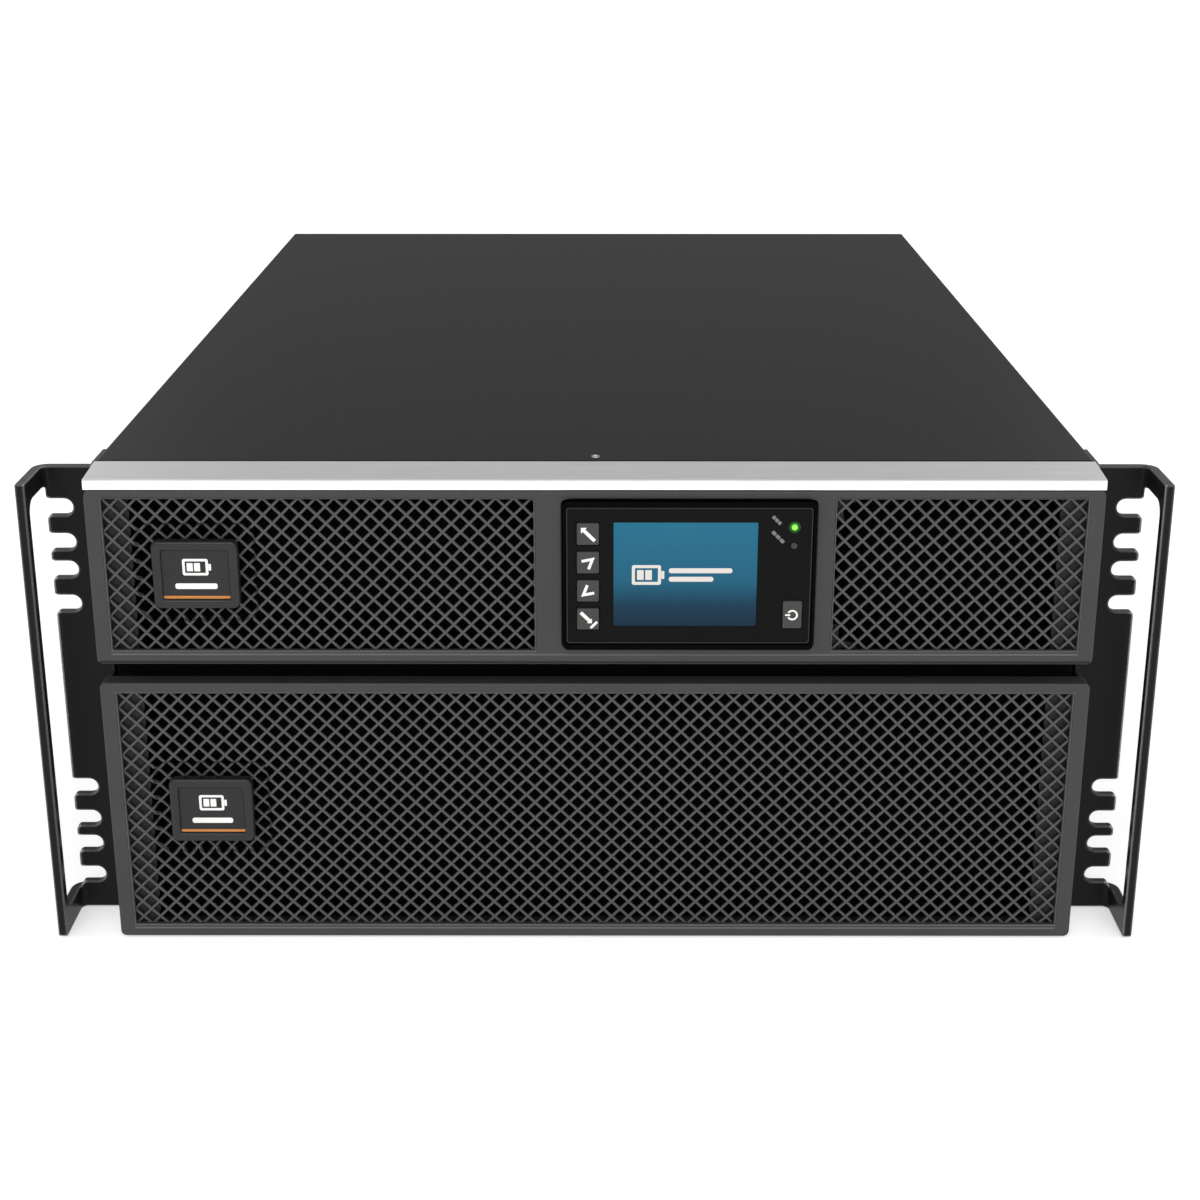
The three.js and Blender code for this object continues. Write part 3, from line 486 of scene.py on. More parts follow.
# ---- camera, light and floor ----
def studio():
    scene = bpy.context.scene
    scene.view_settings.view_transform = "Standard"
    camera = bpy.data.objects.new("camera", bpy.data.cameras.new("camera"))
    camera.data.lens = 61.03
    camera.data.sensor_width = 36
    camera.data.clip_start = 0.01
    camera.location = (0.0037, -1.1334, 0.4515)
    camera.rotation_euler = (math.radians(90 - 19.443), 0, math.radians(0.096))
    scene.collection.objects.link(camera)
    scene.camera = camera

    scene.world = bpy.data.worlds.new("studio")
    scene.world.use_nodes = True
    surroundings(scene.world.node_tree)
    softbox("softbox_front", (0.0, -2.2, 1.5), (0, -0.2, 0.1), (2.4, 1.4), 22)
    for name, side in (("left", -1), ("right", 1)):
        softbox(f"softbox_{name}", (side * 2.2, 0.2, 1.3), (0, 0, 0.1), (1.6, 1.2), 11)
        softbox(f"softbox_back_{name}", (side * 1.4, 2.6, 0.85), (side * 0.2, 0, 0.2), (0.9, 0.7), 2)

    reach = 12
    corners = [(-reach, -reach, 0), (reach, -reach, 0), (reach, reach, 0), (-reach, reach, 0)]
    mesh = bpy.data.meshes.new("floor")
    mesh.from_pydata(corners, [], [(0, 1, 2, 3)])
    floor = bpy.data.objects.new("floor", mesh)
    paint = Paint("floor_paper", (0.80, 0.80, 0.80), 0.9, specular=0.05)
    paint.mottle(paint.noise(300, 2), 0.004)
    paint.glow((1, 1, 1), 0.46)
    mesh.materials.append(paint.material)
    scene.collection.objects.link(floor)
    floor.location.z = -0.0005


def surroundings(tree):
    """Pale light from all round, strongest in front of the object and weakest behind it."""
    coords = tree.nodes.new("ShaderNodeTexCoord")
    split = tree.nodes.new("ShaderNodeSeparateXYZ")
    level = tree.nodes.new("ShaderNodeMapRange")
    level.inputs["From Min"].default_value = -1
    level.inputs["To Min"].default_value = 0.95
    level.inputs["To Max"].default_value = 0.42
    tree.links.new(coords.outputs["Generated"], split.inputs["Vector"])
    tree.links.new(split.outputs["Y"], level.inputs["Value"])
    tree.links.new(level.outputs["Result"], tree.nodes["Background"].inputs["Strength"])
    tree.nodes["Background"].inputs["Color"].default_value = (1, 1, 1, 1)


def softbox(name, place, aim, size, power):
    light = bpy.data.objects.new(name, bpy.data.lights.new(name, "AREA"))
    light.data.shape = "RECTANGLE"
    light.data.size, light.data.size_y = size
    light.data.energy = power
    light.location = place
    light.rotation_mode = "QUATERNION"
    light.rotation_quaternion = (Vector(aim) - Vector(place)).to_track_quat("-Z", "Y")
    bpy.context.scene.collection.objects.link(light)


# ---- CAD nodes that keep their shape: softened edges and a finish ----
# Nodes with faces that run round an opening: merged into single faces, these would fill it in.
RINGED = (
    "top_cover", "upper_bezel_frame", "lower_bezel_frame", "battery_block_left", "battery_block_right",
)


def soften(node, material, bevel, segments):
    """Gives a CAD node its material, and rounds its edges with modifiers."""
    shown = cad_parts[node]
    shown.data.materials.clear()
    shown.data.materials.append(LOOK[material])
    weld = shown.modifiers.new("weld", "WELD")
    weld.merge_threshold = 1e-6
    if node not in RINGED:
        flat = shown.modifiers.new("flat", "DECIMATE")
        flat.decimate_type = "DISSOLVE"
        flat.angle_limit = math.radians(0.5)
    if bevel:
        round_off = shown.modifiers.new("round", "BEVEL")
        round_off.width = bevel * MM
        round_off.segments = segments
        round_off.limit_method = "ANGLE"
        round_off.angle_limit = math.radians(30)
        round_off.use_clamp_overlap = False
    shading = shown.modifiers.new("shading", "WEIGHTED_NORMAL")
    shading.keep_sharp = False
    shading.weight = 80
    triangles = shown.modifiers.new("triangles", "TRIANGULATE")
    triangles.keep_custom_normals = True


SOFTENED = {
    "bezel": (("upper_bezel_frame", "lower_bezel_frame"), 0.7, 3),
    "ear": (("ear_left", "ear_right"), 0.7, 3),
    "cover": (("top_cover",), 0.2, 2),
    "zinc": (
        ("chassis_tray", "mid_deck", "bay_divider", "battery_tray_left", "battery_tray_right"), 0.25, 1,
    ),
    "black": (
        ("rear_panel_upper", "rear_panel_lower", "comm_card", "distribution_box", "terminal_cover"), 0.3, 2,
    ),
    # Front plate and door behind the bezels take the darker coat: painted shade.
    "painted_shade_black": (("front_plate", "battery_door"), 0.3, 2),
    "brushed": (("trim_strip",), 0.35, 2),
    "extrusion": (("heatsink_left", "heatsink_right"), 0.3, 1),
    "jet": (("display_housing",), 0.5, 3),
    "gloss": (("display_fascia",), 0.2, 2),
    "key": (
        ("escape_button", "up_button", "down_button", "enter_button", "power_button"), 0.6, 2,
    ),
    "green": (("run_light",), 0.25, 2),
    "lens": (("alarm_light",), 0.25, 2),
    "plastic": (
        ("pack_handle_left", "pack_handle_right", "battery_plug_left", "battery_plug_right",
         "battery_socket_left", "battery_socket_right", "fan_frame_left", "fan_frame_right",
         "fan_rotor_left", "fan_rotor_right", "port_panel", "outlet_block", "input_breaker_toggle",
         "output_breaker_toggle", "capacitor_front", "capacitor_rear"), 0.5, 2,
    ),
    "case": (("battery_block_left", "battery_block_right"), 0.8, 2),
    "board": (("display_board", "power_board", "control_board"), 0.0, 1),
    "copper": (("choke_front", "choke_rear"), 0.8, 2),
}


# ---- diamond mesh ----
def dish_depth(x, z, centre):
    """How far the mesh has dipped towards a badge at a point: 0 outside the dish, 1 on its floor."""
    if centre is None:
        return 0.0
    u = abs(x - centre[0]) - (DISH["width"] - DISH["corner"])
    v = abs(z - centre[1]) - (DISH["height"] - DISH["corner"])
    outside = math.hypot(max(u, 0), max(v, 0)) + min(max(u, v), 0) - DISH["corner"]
    share = min(max(-outside / DISH["wall"], 0), 1)
    return share * share * (3 - 2 * share)


def bar_rings():
    """A bar's section as (distance from its middle line, depth), from its ridge round to its back."""
    return [(0, 0), (0.26, 0.05), (0.48, 0.22), (BAR_HALF, 0.5), (BAR_HALF, BAR_DEPTH), (0, BAR_DEPTH)]


def diamond_mesh(name, level, xs, zs, front, badge, body, node):
    """Lattice of crossed bars between two heights and sides, dipping into a dish around the badge."""
    bm = bmesh.new()
    known = {}

    def vertex(x, z, depth):
        y = front + depth + DISH["depth"] * dish_depth(x, z, badge)
        key = (round(x, 3), round(z, 3), round(depth, 3))
        if key not in known:
            known[key] = bm.verts.new((x, y, z))
        return known[key]

    half = MESH_PITCH / 2
    inradius = half / math.sqrt(2)
    corners = [(half, 0), (0, half), (-half, 0), (0, -half)]

    def side_points(cx, cz, side, inset, steps):
        (ax, az), (bx, bz) = corners[side], corners[(side + 1) % 4]
        scale = 1 - inset / inradius
        shares = [i / steps for i in range(steps + 1)]
        return [(cx + scale * (ax + (bx - ax) * t), cz + scale * (az + (bz - az) * t)) for t in shares]

    def steps_for(cx, cz, side):
        (ax, az), (bx, bz) = corners[side], corners[(side + 1) % 4]
        mid_x, mid_z = cx + (ax + bx) / 2, cz + (az + bz) / 2
        if badge is None:
            return 1
        near_x = abs(mid_x - badge[0]) < DISH["width"] + 4
        near_z = abs(mid_z - badge[1]) < DISH["height"] + 4
        return 5 if near_x and near_z else 1

    def cell(cx, cz):
        for side in range(4):
            steps = steps_for(cx, cz, side)
            lines = [
                [vertex(x, z, depth) for x, z in side_points(cx, cz, side, inset, steps)]
                for inset, depth in bar_rings()
            ]
            for outer, inner in zip(lines, lines[1:]):
                for i in range(steps):
                    bm.faces.new((outer[i], outer[i + 1], inner[i + 1], inner[i]))

    # Crossings stand at whole pitches and, between them, at half pitches; cells sit between crossings.
    columns = range(math.floor(xs[0] / half), math.ceil(xs[1] / half) + 1)
    rows = range(math.floor((zs[0] - level) / half), math.ceil((zs[1] - level) / half) + 1)
    for column in columns:
        for row in rows:
            if (column + row) % 2:
                cell(column * half, level + row * half)

    for low, high, normal in ((xs[0], xs[1], Vector((1, 0, 0))), (zs[0], zs[1], Vector((0, 0, 1)))):
        for limit, outwards in ((low, -normal), (high, normal)):
            geometry = bm.verts[:] + bm.edges[:] + bm.faces[:]
            bmesh.ops.bisect_plane(
                bm, geom=geometry, dist=1e-5, plane_co=normal * limit, plane_no=outwards, clear_outer=True,
            )
    bmesh.ops.holes_fill(bm, edges=[edge for edge in bm.edges if edge.is_boundary], sides=24)
    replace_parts(finish_piece(name, bm, LOOK["mesh"], body, 50), node)


def end_strip(bm, side, level, zs, edge=198.6, bump=1.5, outer=211):
    """Backing behind the mesh's end, its inner edge scalloped in step with the mesh."""
    low, high = zs
    points = []
    row = math.floor((low - level) / MESH_PITCH)
    while level + row * MESH_PITCH < high:
        centre = level + (row + 0.5) * MESH_PITCH
        points += [
            (edge - bump * math.sin(math.radians(a)), centre - 0.46 * MESH_PITCH * math.cos(math.radians(a)))
            for a in range(0, 181, 30)
        ]
        row += 1
    inner = [(side * x, z) for x, z in points if low < z < high]
    outline = [
        (side * outer, low), (side * edge, low), *inner, (side * edge, high), (side * outer, high),
    ]
    add_plate(bm, outline, BACKING_Y)


def opening_lip(bm, xs, zs, width=0.4, front=0.1, back=2.25):
    """Chamfered ring just inside a mesh opening, sloping back towards the mesh."""
    part = bmesh.new()
    loops = []
    for inset, depth in ((-0.05, front), (width, front + width), (width, back), (-0.05, back)):
        x0, x1, z0, z1 = xs[0] + inset, xs[1] - inset, zs[0] + inset, zs[1] - inset
        loops.append([part.verts.new((x, depth, z)) for x, z in ((x0, z0), (x1, z0), (x1, z1), (x0, z1))])
    for near, far in zip(loops, loops[1:] + loops[:1]):
        for i in range(4):
            part.faces.new((near[i], near[(i + 1) % 4], far[(i + 1) % 4], far[i]))
    merge(bm, part)


def mesh_opening(node):
    """Sides and heights of the opening in the bezel that a grille lies behind."""
    low, high = box_mm(node)
    low, high = low + GRILLE_LAP, high - GRILLE_LAP
    return (low.x, high.x), (low.z, high.z)


def sill(bm, level):
    """Chamfered strip along the foot of a bezel's openings, from end to end."""
    (left, _), (foot, _) = mesh_opening(GRILLES[level][0])
    top, nose, bottom = foot + 0.1, foot - 1.2, foot - 1.6
    under = bottom - 0.3
    section = [(2.2, top), (0.9, top), (-0.25, nose), (-0.25, bottom), (0.4, under), (2.2, under)]
    part = bmesh.new()
    near, far = [[part.verts.new((x, y, z)) for y, z in section] for x in (left, -left)]
    part.faces.new(near)
    part.faces.new(far)
    for i in range(len(section)):
        part.faces.new((near[i - 1], near[i], far[i], far[i - 1]))
    merge(bm, part)


def gussets(bm):
    """Backing in the two corners of the right grille that are next to the display."""
    (left, _), (foot, head) = mesh_opening("upper_grille_right")
    wide, tall, reach, lip = 4.5, 11.0, 12.0, 2.4
    for edge, inwards in ((foot, 1), (head, -1)):
        outline = [(left, edge), (left + reach, edge), (left + reach - lip, edge + inwards * lip)]
        for angle in range(0, 181, 30):
            turn = math.radians(angle)
            height = tall - 3.8 - 3.4 * math.cos(turn)
            outline.append((left + wide - math.sin(turn), edge + inwards * height))
        outline += [(left + wide - 1.5, edge + inwards * tall), (left, edge + inwards * tall)]
        add_plate(bm, outline, BACKING_Y)


def meshes():
    for name, level, node, limits, badge in (
        ("upper_mesh_left", "upper", "upper_grille_left", (-210.2, -22.6), "upper_badge"),
        ("upper_mesh_right", "upper", "upper_grille_right", (99.0, 210.2), None),
        ("lower_mesh", "lower", "lower_grille", (-210.2, 210.2), "lower_badge"),
    ):
        low, high = box_mm(node)
        centre = (middle(badge).x, middle(badge).z) if badge else None
        body = f"{level}_bezel"
        diamond_mesh(name, MESH_Z[level], limits, (low.z, high.z), low.y, centre, body, node)
    for level in ("upper", "lower"):
        low, high = box_mm(f"{level}_bezel_frame")
        bm = bmesh.new()
        for side in (-1, 1):
            end_strip(bm, side, MESH_Z[level], (low.z + 2.5, high.z - 2.5))
        finish_piece(f"{level}_end_backing", bm, LOOK["dark"], f"{level}_bezel")
    for level, nodes in GRILLES.items():
        bm = bmesh.new()
        for node in nodes:
            opening_lip(bm, *mesh_opening(node))
        finish_piece(f"{level}_opening_lips", bm, LOOK["bezel"], f"{level}_bezel", 20)
        bm = bmesh.new()
        sill(bm, level)
        # Lighter plastic on the sill: painted highlight.
        finish_piece(f"{level}_sill", bm, LOOK["sill"], f"{level}_bezel", 20)
    # Painted shade: a dark strip along the foot of the upper bezel's face, for the shade under its rounded
    # lower edge.
    low, high = box_mm("upper_bezel_frame")
    bm = bmesh.new()
    add_box(bm, (low.x + 1, high.x - 1), (-0.05, 0.3), (low.z + 0.5, low.z + 1.6))
    finish_piece("upper_rail_painted_shade", bm, LOOK["dark"], "upper_bezel")
    bm = bmesh.new()
    gussets(bm)
    finish_piece("upper_gussets", bm, LOOK["dark"], "upper_bezel")
    # Foam sheets behind the meshes, made near black: painted shade for the dark space behind the mesh.
    filters = (
        ("upper_filter_left", "upper_bezel", (-208, -17), (135, 208)),
        ("upper_filter_right", "upper_bezel", (99, 208), (135, 208)),
        ("lower_filter", "lower_bezel", (-208, 208), (4, 119.5)),
    )
    for name, body, xs, zs in filters:
        bm = bmesh.new()
        add_box(bm, xs, (12.5, 18), zs, 1)
        finish_piece(name, bm, LOOK["foam"], body)


# ---- badges ----
def badge(level):
    """Raised rim around a recessed panel, with a stripe along its foot and a plain battery sign."""
    node = f"{level}_badge"
    low, high = box_mm(node)
    centre = middle(node)
    x, z = centre.x, centre.z
    half_x, half_z = (high.x - low.x) / 2, (high.z - low.z) / 2
    body = f"{level}_badge_tile"
    front = low.y

    def rect(inset, corner):
        u, v = half_x - inset, half_z - inset
        return rounded_rect(x - u, x + u, z - v, z + v, corner)

    bm = bmesh.new()
    add_plate(bm, rect(0, 3), (front, high.y - 4.4), [rect(4.2, 1.0)], 1.2, 3)
    add_rod(bm, (x, 3.5, z), "y", 6, high.y - 3.5, 32)
    add_rod(bm, (x, high.y - 1.5, z), "y", 7.5, 1.5, 32, 0.2)
    tile = finish_piece(f"{level}_badge_tile", bm, LOOK["badge"], body)
    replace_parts(tile, node)

    panel = front + 1.3
    bm = bmesh.new()
    add_plate(bm, rect(2.6, 1.5), (panel, 4.0))
    finish_piece(f"{level}_badge_panel", bm, LOOK["panel"], body)

    bm = bmesh.new()
    stripe = rounded_rect(x - half_x + 4.2, x + half_x - 4.2, z - half_z + 4.4, z - half_z + 5.6, 0.3)
    add_plate(bm, stripe, printed(panel))
    finish_piece(f"{level}_badge_stripe", bm, LOOK["orange"], body)

    bm = bmesh.new()
    battery_sign(bm, x, z + 3.4, 11, 7.4, panel, 1.1)
    add_plate(bm, rounded_rect(x - 9, x + 9, z - 6.4, z - 3.9, 0.9), printed(panel))
    finish_piece(f"{level}_badge_sign", bm, LOOK["white"], body)


def battery_sign(bm, x, z, width, height, face, line=0.9):
    """Outline of a battery with its terminal and two charge bars."""
    ys = printed(face)
    outer = rounded_rect(x - width / 2, x + width / 2, z - height / 2, z + height / 2, 0.9)
    inner = rounded_rect(
        x - width / 2 + line, x + width / 2 - line, z - height / 2 + line, z + height / 2 - line, 0.3,
    )
    add_plate(bm, outer, ys, [inner])
    tip = x + width / 2 + 0.1
    add_plate(bm, rounded_rect(tip, tip + line, z - height / 5, z + height / 5, 0.3), ys)
    bar = (width - 3 * line) / 3
    reach = height / 2 - 1.7 * line
    for i in range(2):
        left = x - width / 2 + 1.7 * line + i * (bar + 0.5 * line)
        add_plate(bm, rounded_rect(left, left + bar, z - reach, z + reach, 0.2), ys)


# ---- display ----
def glyph_arrow(size, line=1.5):
    """Arrow pointing along +x."""
    s = size / 2
    head = 0.22 * size
    return [(-s, -line / 2), (s - head, -line / 2), (s - head, -head), (s, 0),
            (s - head, head), (s - head, line / 2), (-s, line / 2)]


def glyph_chevron(reach=5.8, line=1.2, half_angle=29, tip=3.8):
    """Open angle pointing along +x."""
    c, s = math.cos(math.radians(half_angle)), math.sin(math.radians(half_angle))
    outer = (tip - reach * c, reach * s)
    inner = (outer[0] - line * s, outer[1] - line * c)
    notch = (tip - line / s, 0)
    return [(tip, 0), outer, inner, notch, (inner[0], -inner[1]), (outer[0], -outer[1])]


def key_signs():
    """White signs printed on the keys, all turned by an eighth of a turn."""
    end_bar = rounded_rect(3.0, 4.1, -2.0, 2.0, 0.3)
    into_bar = [(x - 1.0, z) for x, z in glyph_arrow(6.8)]
    signs = {
        "escape": ([glyph_arrow(8.2)], 135), "up": ([glyph_chevron()], 40),
        "down": ([glyph_chevron()], 220), "enter": ([into_bar, end_bar], -45),
    }
    for name, (shapes, turn) in signs.items():
        centre = middle(f"{name}_button")
        face = box_mm(f"{name}_button")[0].y
        bm = bmesh.new()
        for shape in shapes:
            add_plate(bm, tilted(shape, centre.x, centre.z, turn), printed(face, 0.08))
        finish_piece(f"{name}_sign", bm, LOOK["white"], f"{name}_key")

    centre = middle("power_button")
    face = box_mm("power_button")[0].y
    ys = printed(face, 0.08)
    bm = bmesh.new()
    gap, radius, line = 30, 2.35, 0.75
    ring = arc(0, 0, radius, gap, 360 - gap, 24) + arc(0, 0, radius - line, 360 - gap, gap, 24)
    add_plate(bm, tilted(ring, centre.x, centre.z, 180), ys)
    bar = rounded_rect(0.9, 3.1, -line / 2, line / 2, 0.2)
    add_plate(bm, tilted(bar, centre.x, centre.z, 180), ys)
    finish_piece("power_sign", bm, LOOK["white"], "power_key")


def screen():
    """Glass panel flush with the fascia, with a plain battery sign and lines on it."""
    low, high = box_mm("display_screen")
    fascia = box_mm("display_fascia")[0].y
    edge = 1.3
    bm = bmesh.new()
    outline = rounded_rect(low.x + edge, high.x - edge, low.z + edge, high.z - edge, 0.5)
    add_plate(bm, outline, (fascia + 0.15, high.y), (), 0.15, 2)
    panel = finish_piece("screen_panel", bm, LOOK["screen"], "chassis")
    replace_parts(panel, "display_screen")

    face = fascia + 0.15
    centre = (low + high) / 2
    bm = bmesh.new()
    battery_sign(bm, centre.x - 16.5, centre.z, 12.4, 8.8, face, 1.3)
    left = centre.x - 7
    for i, width in enumerate((27, 19)):
        z = centre.z + 1.9 - 3.8 * i
        add_plate(bm, rounded_rect(left, left + width, z - 1.1, z + 1.1, 1.0), (face - 0.05, face + 0.05))
    finish_piece("screen_sign", bm, LOOK["symbol"], "chassis")


def display_trims():
    """Grey marks left of the two lights, a painted glow ring round the lit light, and a lighter lip around
    the fascia that paints the highlight along its edge.
    """
    low, high = box_mm("display_fascia")
    ys = (low.y - 0.05, low.y + 0.1)
    bm = bmesh.new()
    for node, length, left, up in (("run_light", 5.0, 7.6, 3.1), ("alarm_light", 7.2, 6.9, 3.9)):
        centre = middle(node)
        dash = length / 3.4
        for i in range(3):
            offset = (i - 1) * dash * 1.15
            mark = rounded_rect(offset - dash / 2, offset + dash / 2, -0.75, 0.75, 0.4, 3)
            add_plate(bm, tilted(mark, centre.x - left, centre.z + up, -45), ys)
    finish_piece("light_marks", bm, LOOK["grey"], "chassis")

    # Painted glow: a ring on the fascia round the lit light glows as if lit by it.
    centre = middle("run_light")
    bm = bmesh.new()
    add_plate(bm, circle(centre.x, centre.z, 2.5, 32), ys, [circle(centre.x, centre.z, 1.72, 32)])
    finish_piece("run_light_halo", bm, LOOK["halo"], "chassis")

    # Painted highlight: a lighter grey ring round the fascia for the light along its edge.
    bm = bmesh.new()
    lip = [rounded_rect(low.x + i, high.x - i, low.z + i, high.z - i, 1) for i in (0.05, 0.5)]
    add_plate(bm, lip[0], (low.y - 0.12, low.y + 0.2), [lip[1]])
    finish_piece("fascia_highlight_lip", bm, LOOK["edge"], "chassis")


# ---- fasteners and fittings ----
def add_screw(bm, place, axis, radius, height=1.4):
    """Pan-head screw standing on a face, with a round recess."""
    shares = [(0, 0), (1, 0), (1, 0.35), (0.82, 0.8), (0.5, 1), (0.42, 1), (0.3, 0.45), (0, 0.45)]
    add_lathe(bm, place, axis, [(r * radius, h * height) for r, h in shares])


def screws(name, places, axis, radius, material, body, height=1.4):
    bm = bmesh.new()
    for place in places:
        add_screw(bm, place, axis, radius, height)
    finish_piece(name, bm, LOOK[material], body)


def case_screws():
    top = COVER_HIGH.z
    bm = bmesh.new()
    add_lathe(
        bm, (0.3, 31, top), "z",
        [(0, 0), (1.9, 0), (1.8, 0.35), (1.3, 0.5), (0.9, 0.42), (0.75, 0.15), (0, 0.15)], 32,
    )
    finish_piece("cover_rivet", bm, LOOK["steel"], "chassis")

    for side, sign in (("left", -1), ("right", 1)):
        face = sign * EAR_FLANGE_X
        outwards = "x" if sign > 0 else "-x"
        heights = [22, 64, 106, 148, 190]
        screws(f"ear_screws_{side}", [(face, 46, z) for z in heights], outwards, 3.6, "ear", "chassis", 1.8)
        edge = sign * COVER_HIGH.x
        rows = [(edge, y, z) for y in (110, 270, 430, 600) for z in (14, 134)]
        screws(f"cover_screws_{side}", rows, outwards, 2.9, "black", "chassis", 1.0)

    rear = [(x, PANEL_Y, z) for x in (-207, 207) for z in (9, 122, 136, 208)]
    rear += [(x, PANEL_Y, z) for x in (-110, -5, 86) for z in (208.5,)]
    rear += [(x, PANEL_Y, z) for x in (-6, 100, 190) for z in (9, 122)]
    screws("rear_screws", rear, "y", 2.9, "steel", "chassis")
    door = box_mm("battery_door")[0]
    screws(
        "door_screws", [(x, door.y, z) for x in (-196, 196) for z in (20, 108)], "-y", 4.2, "steel",
        "battery_bay_door", 1.3,
    )


def finger_guards():
    """Wire guards: rings welded to a cross of wires that end in screwed eyes."""
    wire = 0.85
    for side in ("left", "right"):
        node = f"fan_guard_{side}"
        centre = middle(node)
        x, z = centre.x, centre.z
        y = box_mm(node)[0].y + wire
        bm = bmesh.new()
        for radius in (8, 15.8, 23.6, 31.4, 39.2):
            add_tube(bm, [(u, y + 1.2, v) for u, v in circle(x, z, radius, 48)], wire, 8, closed=True)
        corners = [(dx * 35.8, dz * 35.8) for dx in (-1, 1) for dz in (-1, 1)]
        for dx, dz in corners:
            reach = [Vector((x + dx * t, y, z + dz * t)) for t in (0.08, 0.94)]
            add_tube(bm, reach, wire)
            eye = circle(x + dx, z + dz, 2.9, 20)
            add_tube(bm, [(u, y, v) for u, v in eye], wire, 8, closed=True)
        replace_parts(finish_piece(f"finger_guard_{side}", bm, LOOK["steel"], "chassis"), node)
        heads = [(x + dx, y - wire, z + dz) for dx, dz in corners]
        screws(f"fan_screws_{side}", heads, "y", 2.4, "steel", "chassis", 1.9)

        rotor = box_mm(f"fan_rotor_{side}")[1]
        bm = bmesh.new()
        add_plate(bm, circle(x, z, 12.5, 36), (rotor.y - 0.1, rotor.y + 0.12), [circle(x, z, 4, 24)])
        finish_piece(f"fan_hub_ring_{side}", bm, LOOK["steel"], f"fan_{side}")


def outlets():
    """Contact slots in the four outlets, with brass inside them, and blank label strips."""
    low, high = box_mm("outlet_block")
    centre = (low + high) / 2
    dark = bmesh.new()
    brass = bmesh.new()
    island = high.y - 0.5
    for dx in (-24, 24):
        for dz in (-20, 20):
            for ox, oz in ((-5, -1.6), (5, -1.6), (0, 2.6)):
                x, z = centre.x + dx + ox, centre.z + dz + oz
                slot = rounded_rect(x - 1.2, x + 1.2, z - 2.2, z + 2.2, 0.3)
                inside = rounded_rect(x - 0.75, x + 0.75, z - 1.75, z + 1.75, 0.2)
                add_plate(dark, slot, (island - 0.1, island + 0.18), [inside])
                add_plate(brass, inside, (island - 0.1, island + 0.05))
    finish_piece("outlet_slot_rims", dark, LOOK["jet"], "chassis")
    finish_piece("outlet_contacts", brass, LOOK["brass"], "chassis")
    bm = bmesh.new()
    for dz in (-38, 0, 38):
        outline = rounded_rect(centre.x - 36, centre.x + 36, centre.z + dz - 2.2, centre.z + dz + 2.2, 0.6)
        add_plate(bm, outline, (high.y - 0.1, high.y + 0.12))
    finish_piece("outlet_label_strips", bm, LOOK["grey"], "chassis")


def terminal_fittings():
    low, high = box_mm("terminal_cover")
    plate = TERMINAL_PLATE_Y
    places = [(x, plate, z) for x in (low.x + 4, high.x - 4) for z in (low.z + 4, high.z - 4)]
    screws("terminal_screws", places, "y", 2.6, "steel", "chassis")
    x, z = (low.x + high.x) / 2, BUSHING_Z
    bm = bmesh.new()
    nut = circle(x, z, 19, 6)
    add_plate(bm, nut, (plate + 0.05, plate + 2.8), [circle(x, z, 15.1, 40)], 0.5)
    finish_piece("bushing_nut", bm, LOOK["plastic"], "chassis")
    bm = bmesh.new()
    for depth in (619, 623, 627):
        add_tube(bm, [(u, depth, v) for u, v in circle(x, z, 10.3, 40)], 0.7, 8, closed=True)
    finish_piece("bushing_ribs", bm, LOOK["plastic"], "chassis")


def port_details():
    """Shells, pins and tongues of the three ports, and the card's thumb screws and socket."""
    low, high = box_mm("port_panel")
    face = high.y
    z = (low.z + high.z) / 2
    shell = bmesh.new()
    serial = 117  # middle of the nine-pin port
    for x, width, height in ((serial, 18, 9), (143, 15, 12), (163, 12, 11)):
        outer, inner = [
            rounded_rect(x - width / 2 - i, x + width / 2 + i, z - height / 2 - i, z + height / 2 + i, r)
            for i, r in ((0.9, 1.2), (-0.1, 0.6))
        ]
        add_plate(shell, outer, (face - 0.3, face + 0.7), [inner], 0.25)
    for dx in (-12.6, 12.6):
        x = serial + dx
        add_plate(shell, circle(x, z, 2.4, 6), (face - 0.2, face + 2.4), [circle(x, z, 1.2, 16)], 0.2)
    finish_piece("port_shells", shell, LOOK["zinc"], "chassis")

    tongues = bmesh.new()
    add_box(tongues, (110, 124), (face - 9, face - 3), (z - 2.6, z + 2.6), 0.8)
    add_box(tongues, (158.6, 167.4), (face - 9, face - 2), (z - 0.4, z + 1.6), 0.3)
    finish_piece("port_cores", tongues, LOOK["plastic"], "chassis")

    pins = bmesh.new()
    for row, count in ((1.2, 5), (-1.2, 4)):
        for i in range(count):
            x = serial + 2.6 * (i - (count - 1) / 2)
            add_rod(pins, (x, face - 3.2, z + row), "y", 0.5, 2.6, 10, 0.15)
    for i in range(8):
        add_box(pins, (138.9 + i, 139.3 + i), (face - 9, face - 3), (z + 3.6, z + 4.1))
    finish_piece("port_pins", pins, LOOK["brass"], "chassis")

    card = box_mm("comm_card")
    plate = CARD_PLATE_Y
    bm = bmesh.new()
    for x in (card[0].x + 4, card[1].x - 4):
        ridges, grooves = [circle(0, 0, radius, 36) for radius in (3.5, 3.2)]
        knurled = [(ridges if i % 2 else grooves)[i] for i in range(36)]
        add_plate(bm, tilted(knurled, x, 186, 0), (plate, plate + 2.8), (), 0.3)
    finish_piece("comm_thumb_screws", bm, LOOK["steel"], "comm_module")
    bm = bmesh.new()
    for x in (118, 136):
        outer = rounded_rect(x - 7.4, x + 7.4, 196.6, 208.4, 0.8)
        inner = rounded_rect(x - 5.9, x + 5.9, 198.2, 206.2, 0.4)
        add_plate(bm, outer, (plate - 0.2, plate + 1.0), [inner], 0.25)
        add_plate(bm, inner, (plate - 0.2, plate + 0.1))
    finish_piece("comm_sockets", bm, LOOK["plastic"], "comm_module")


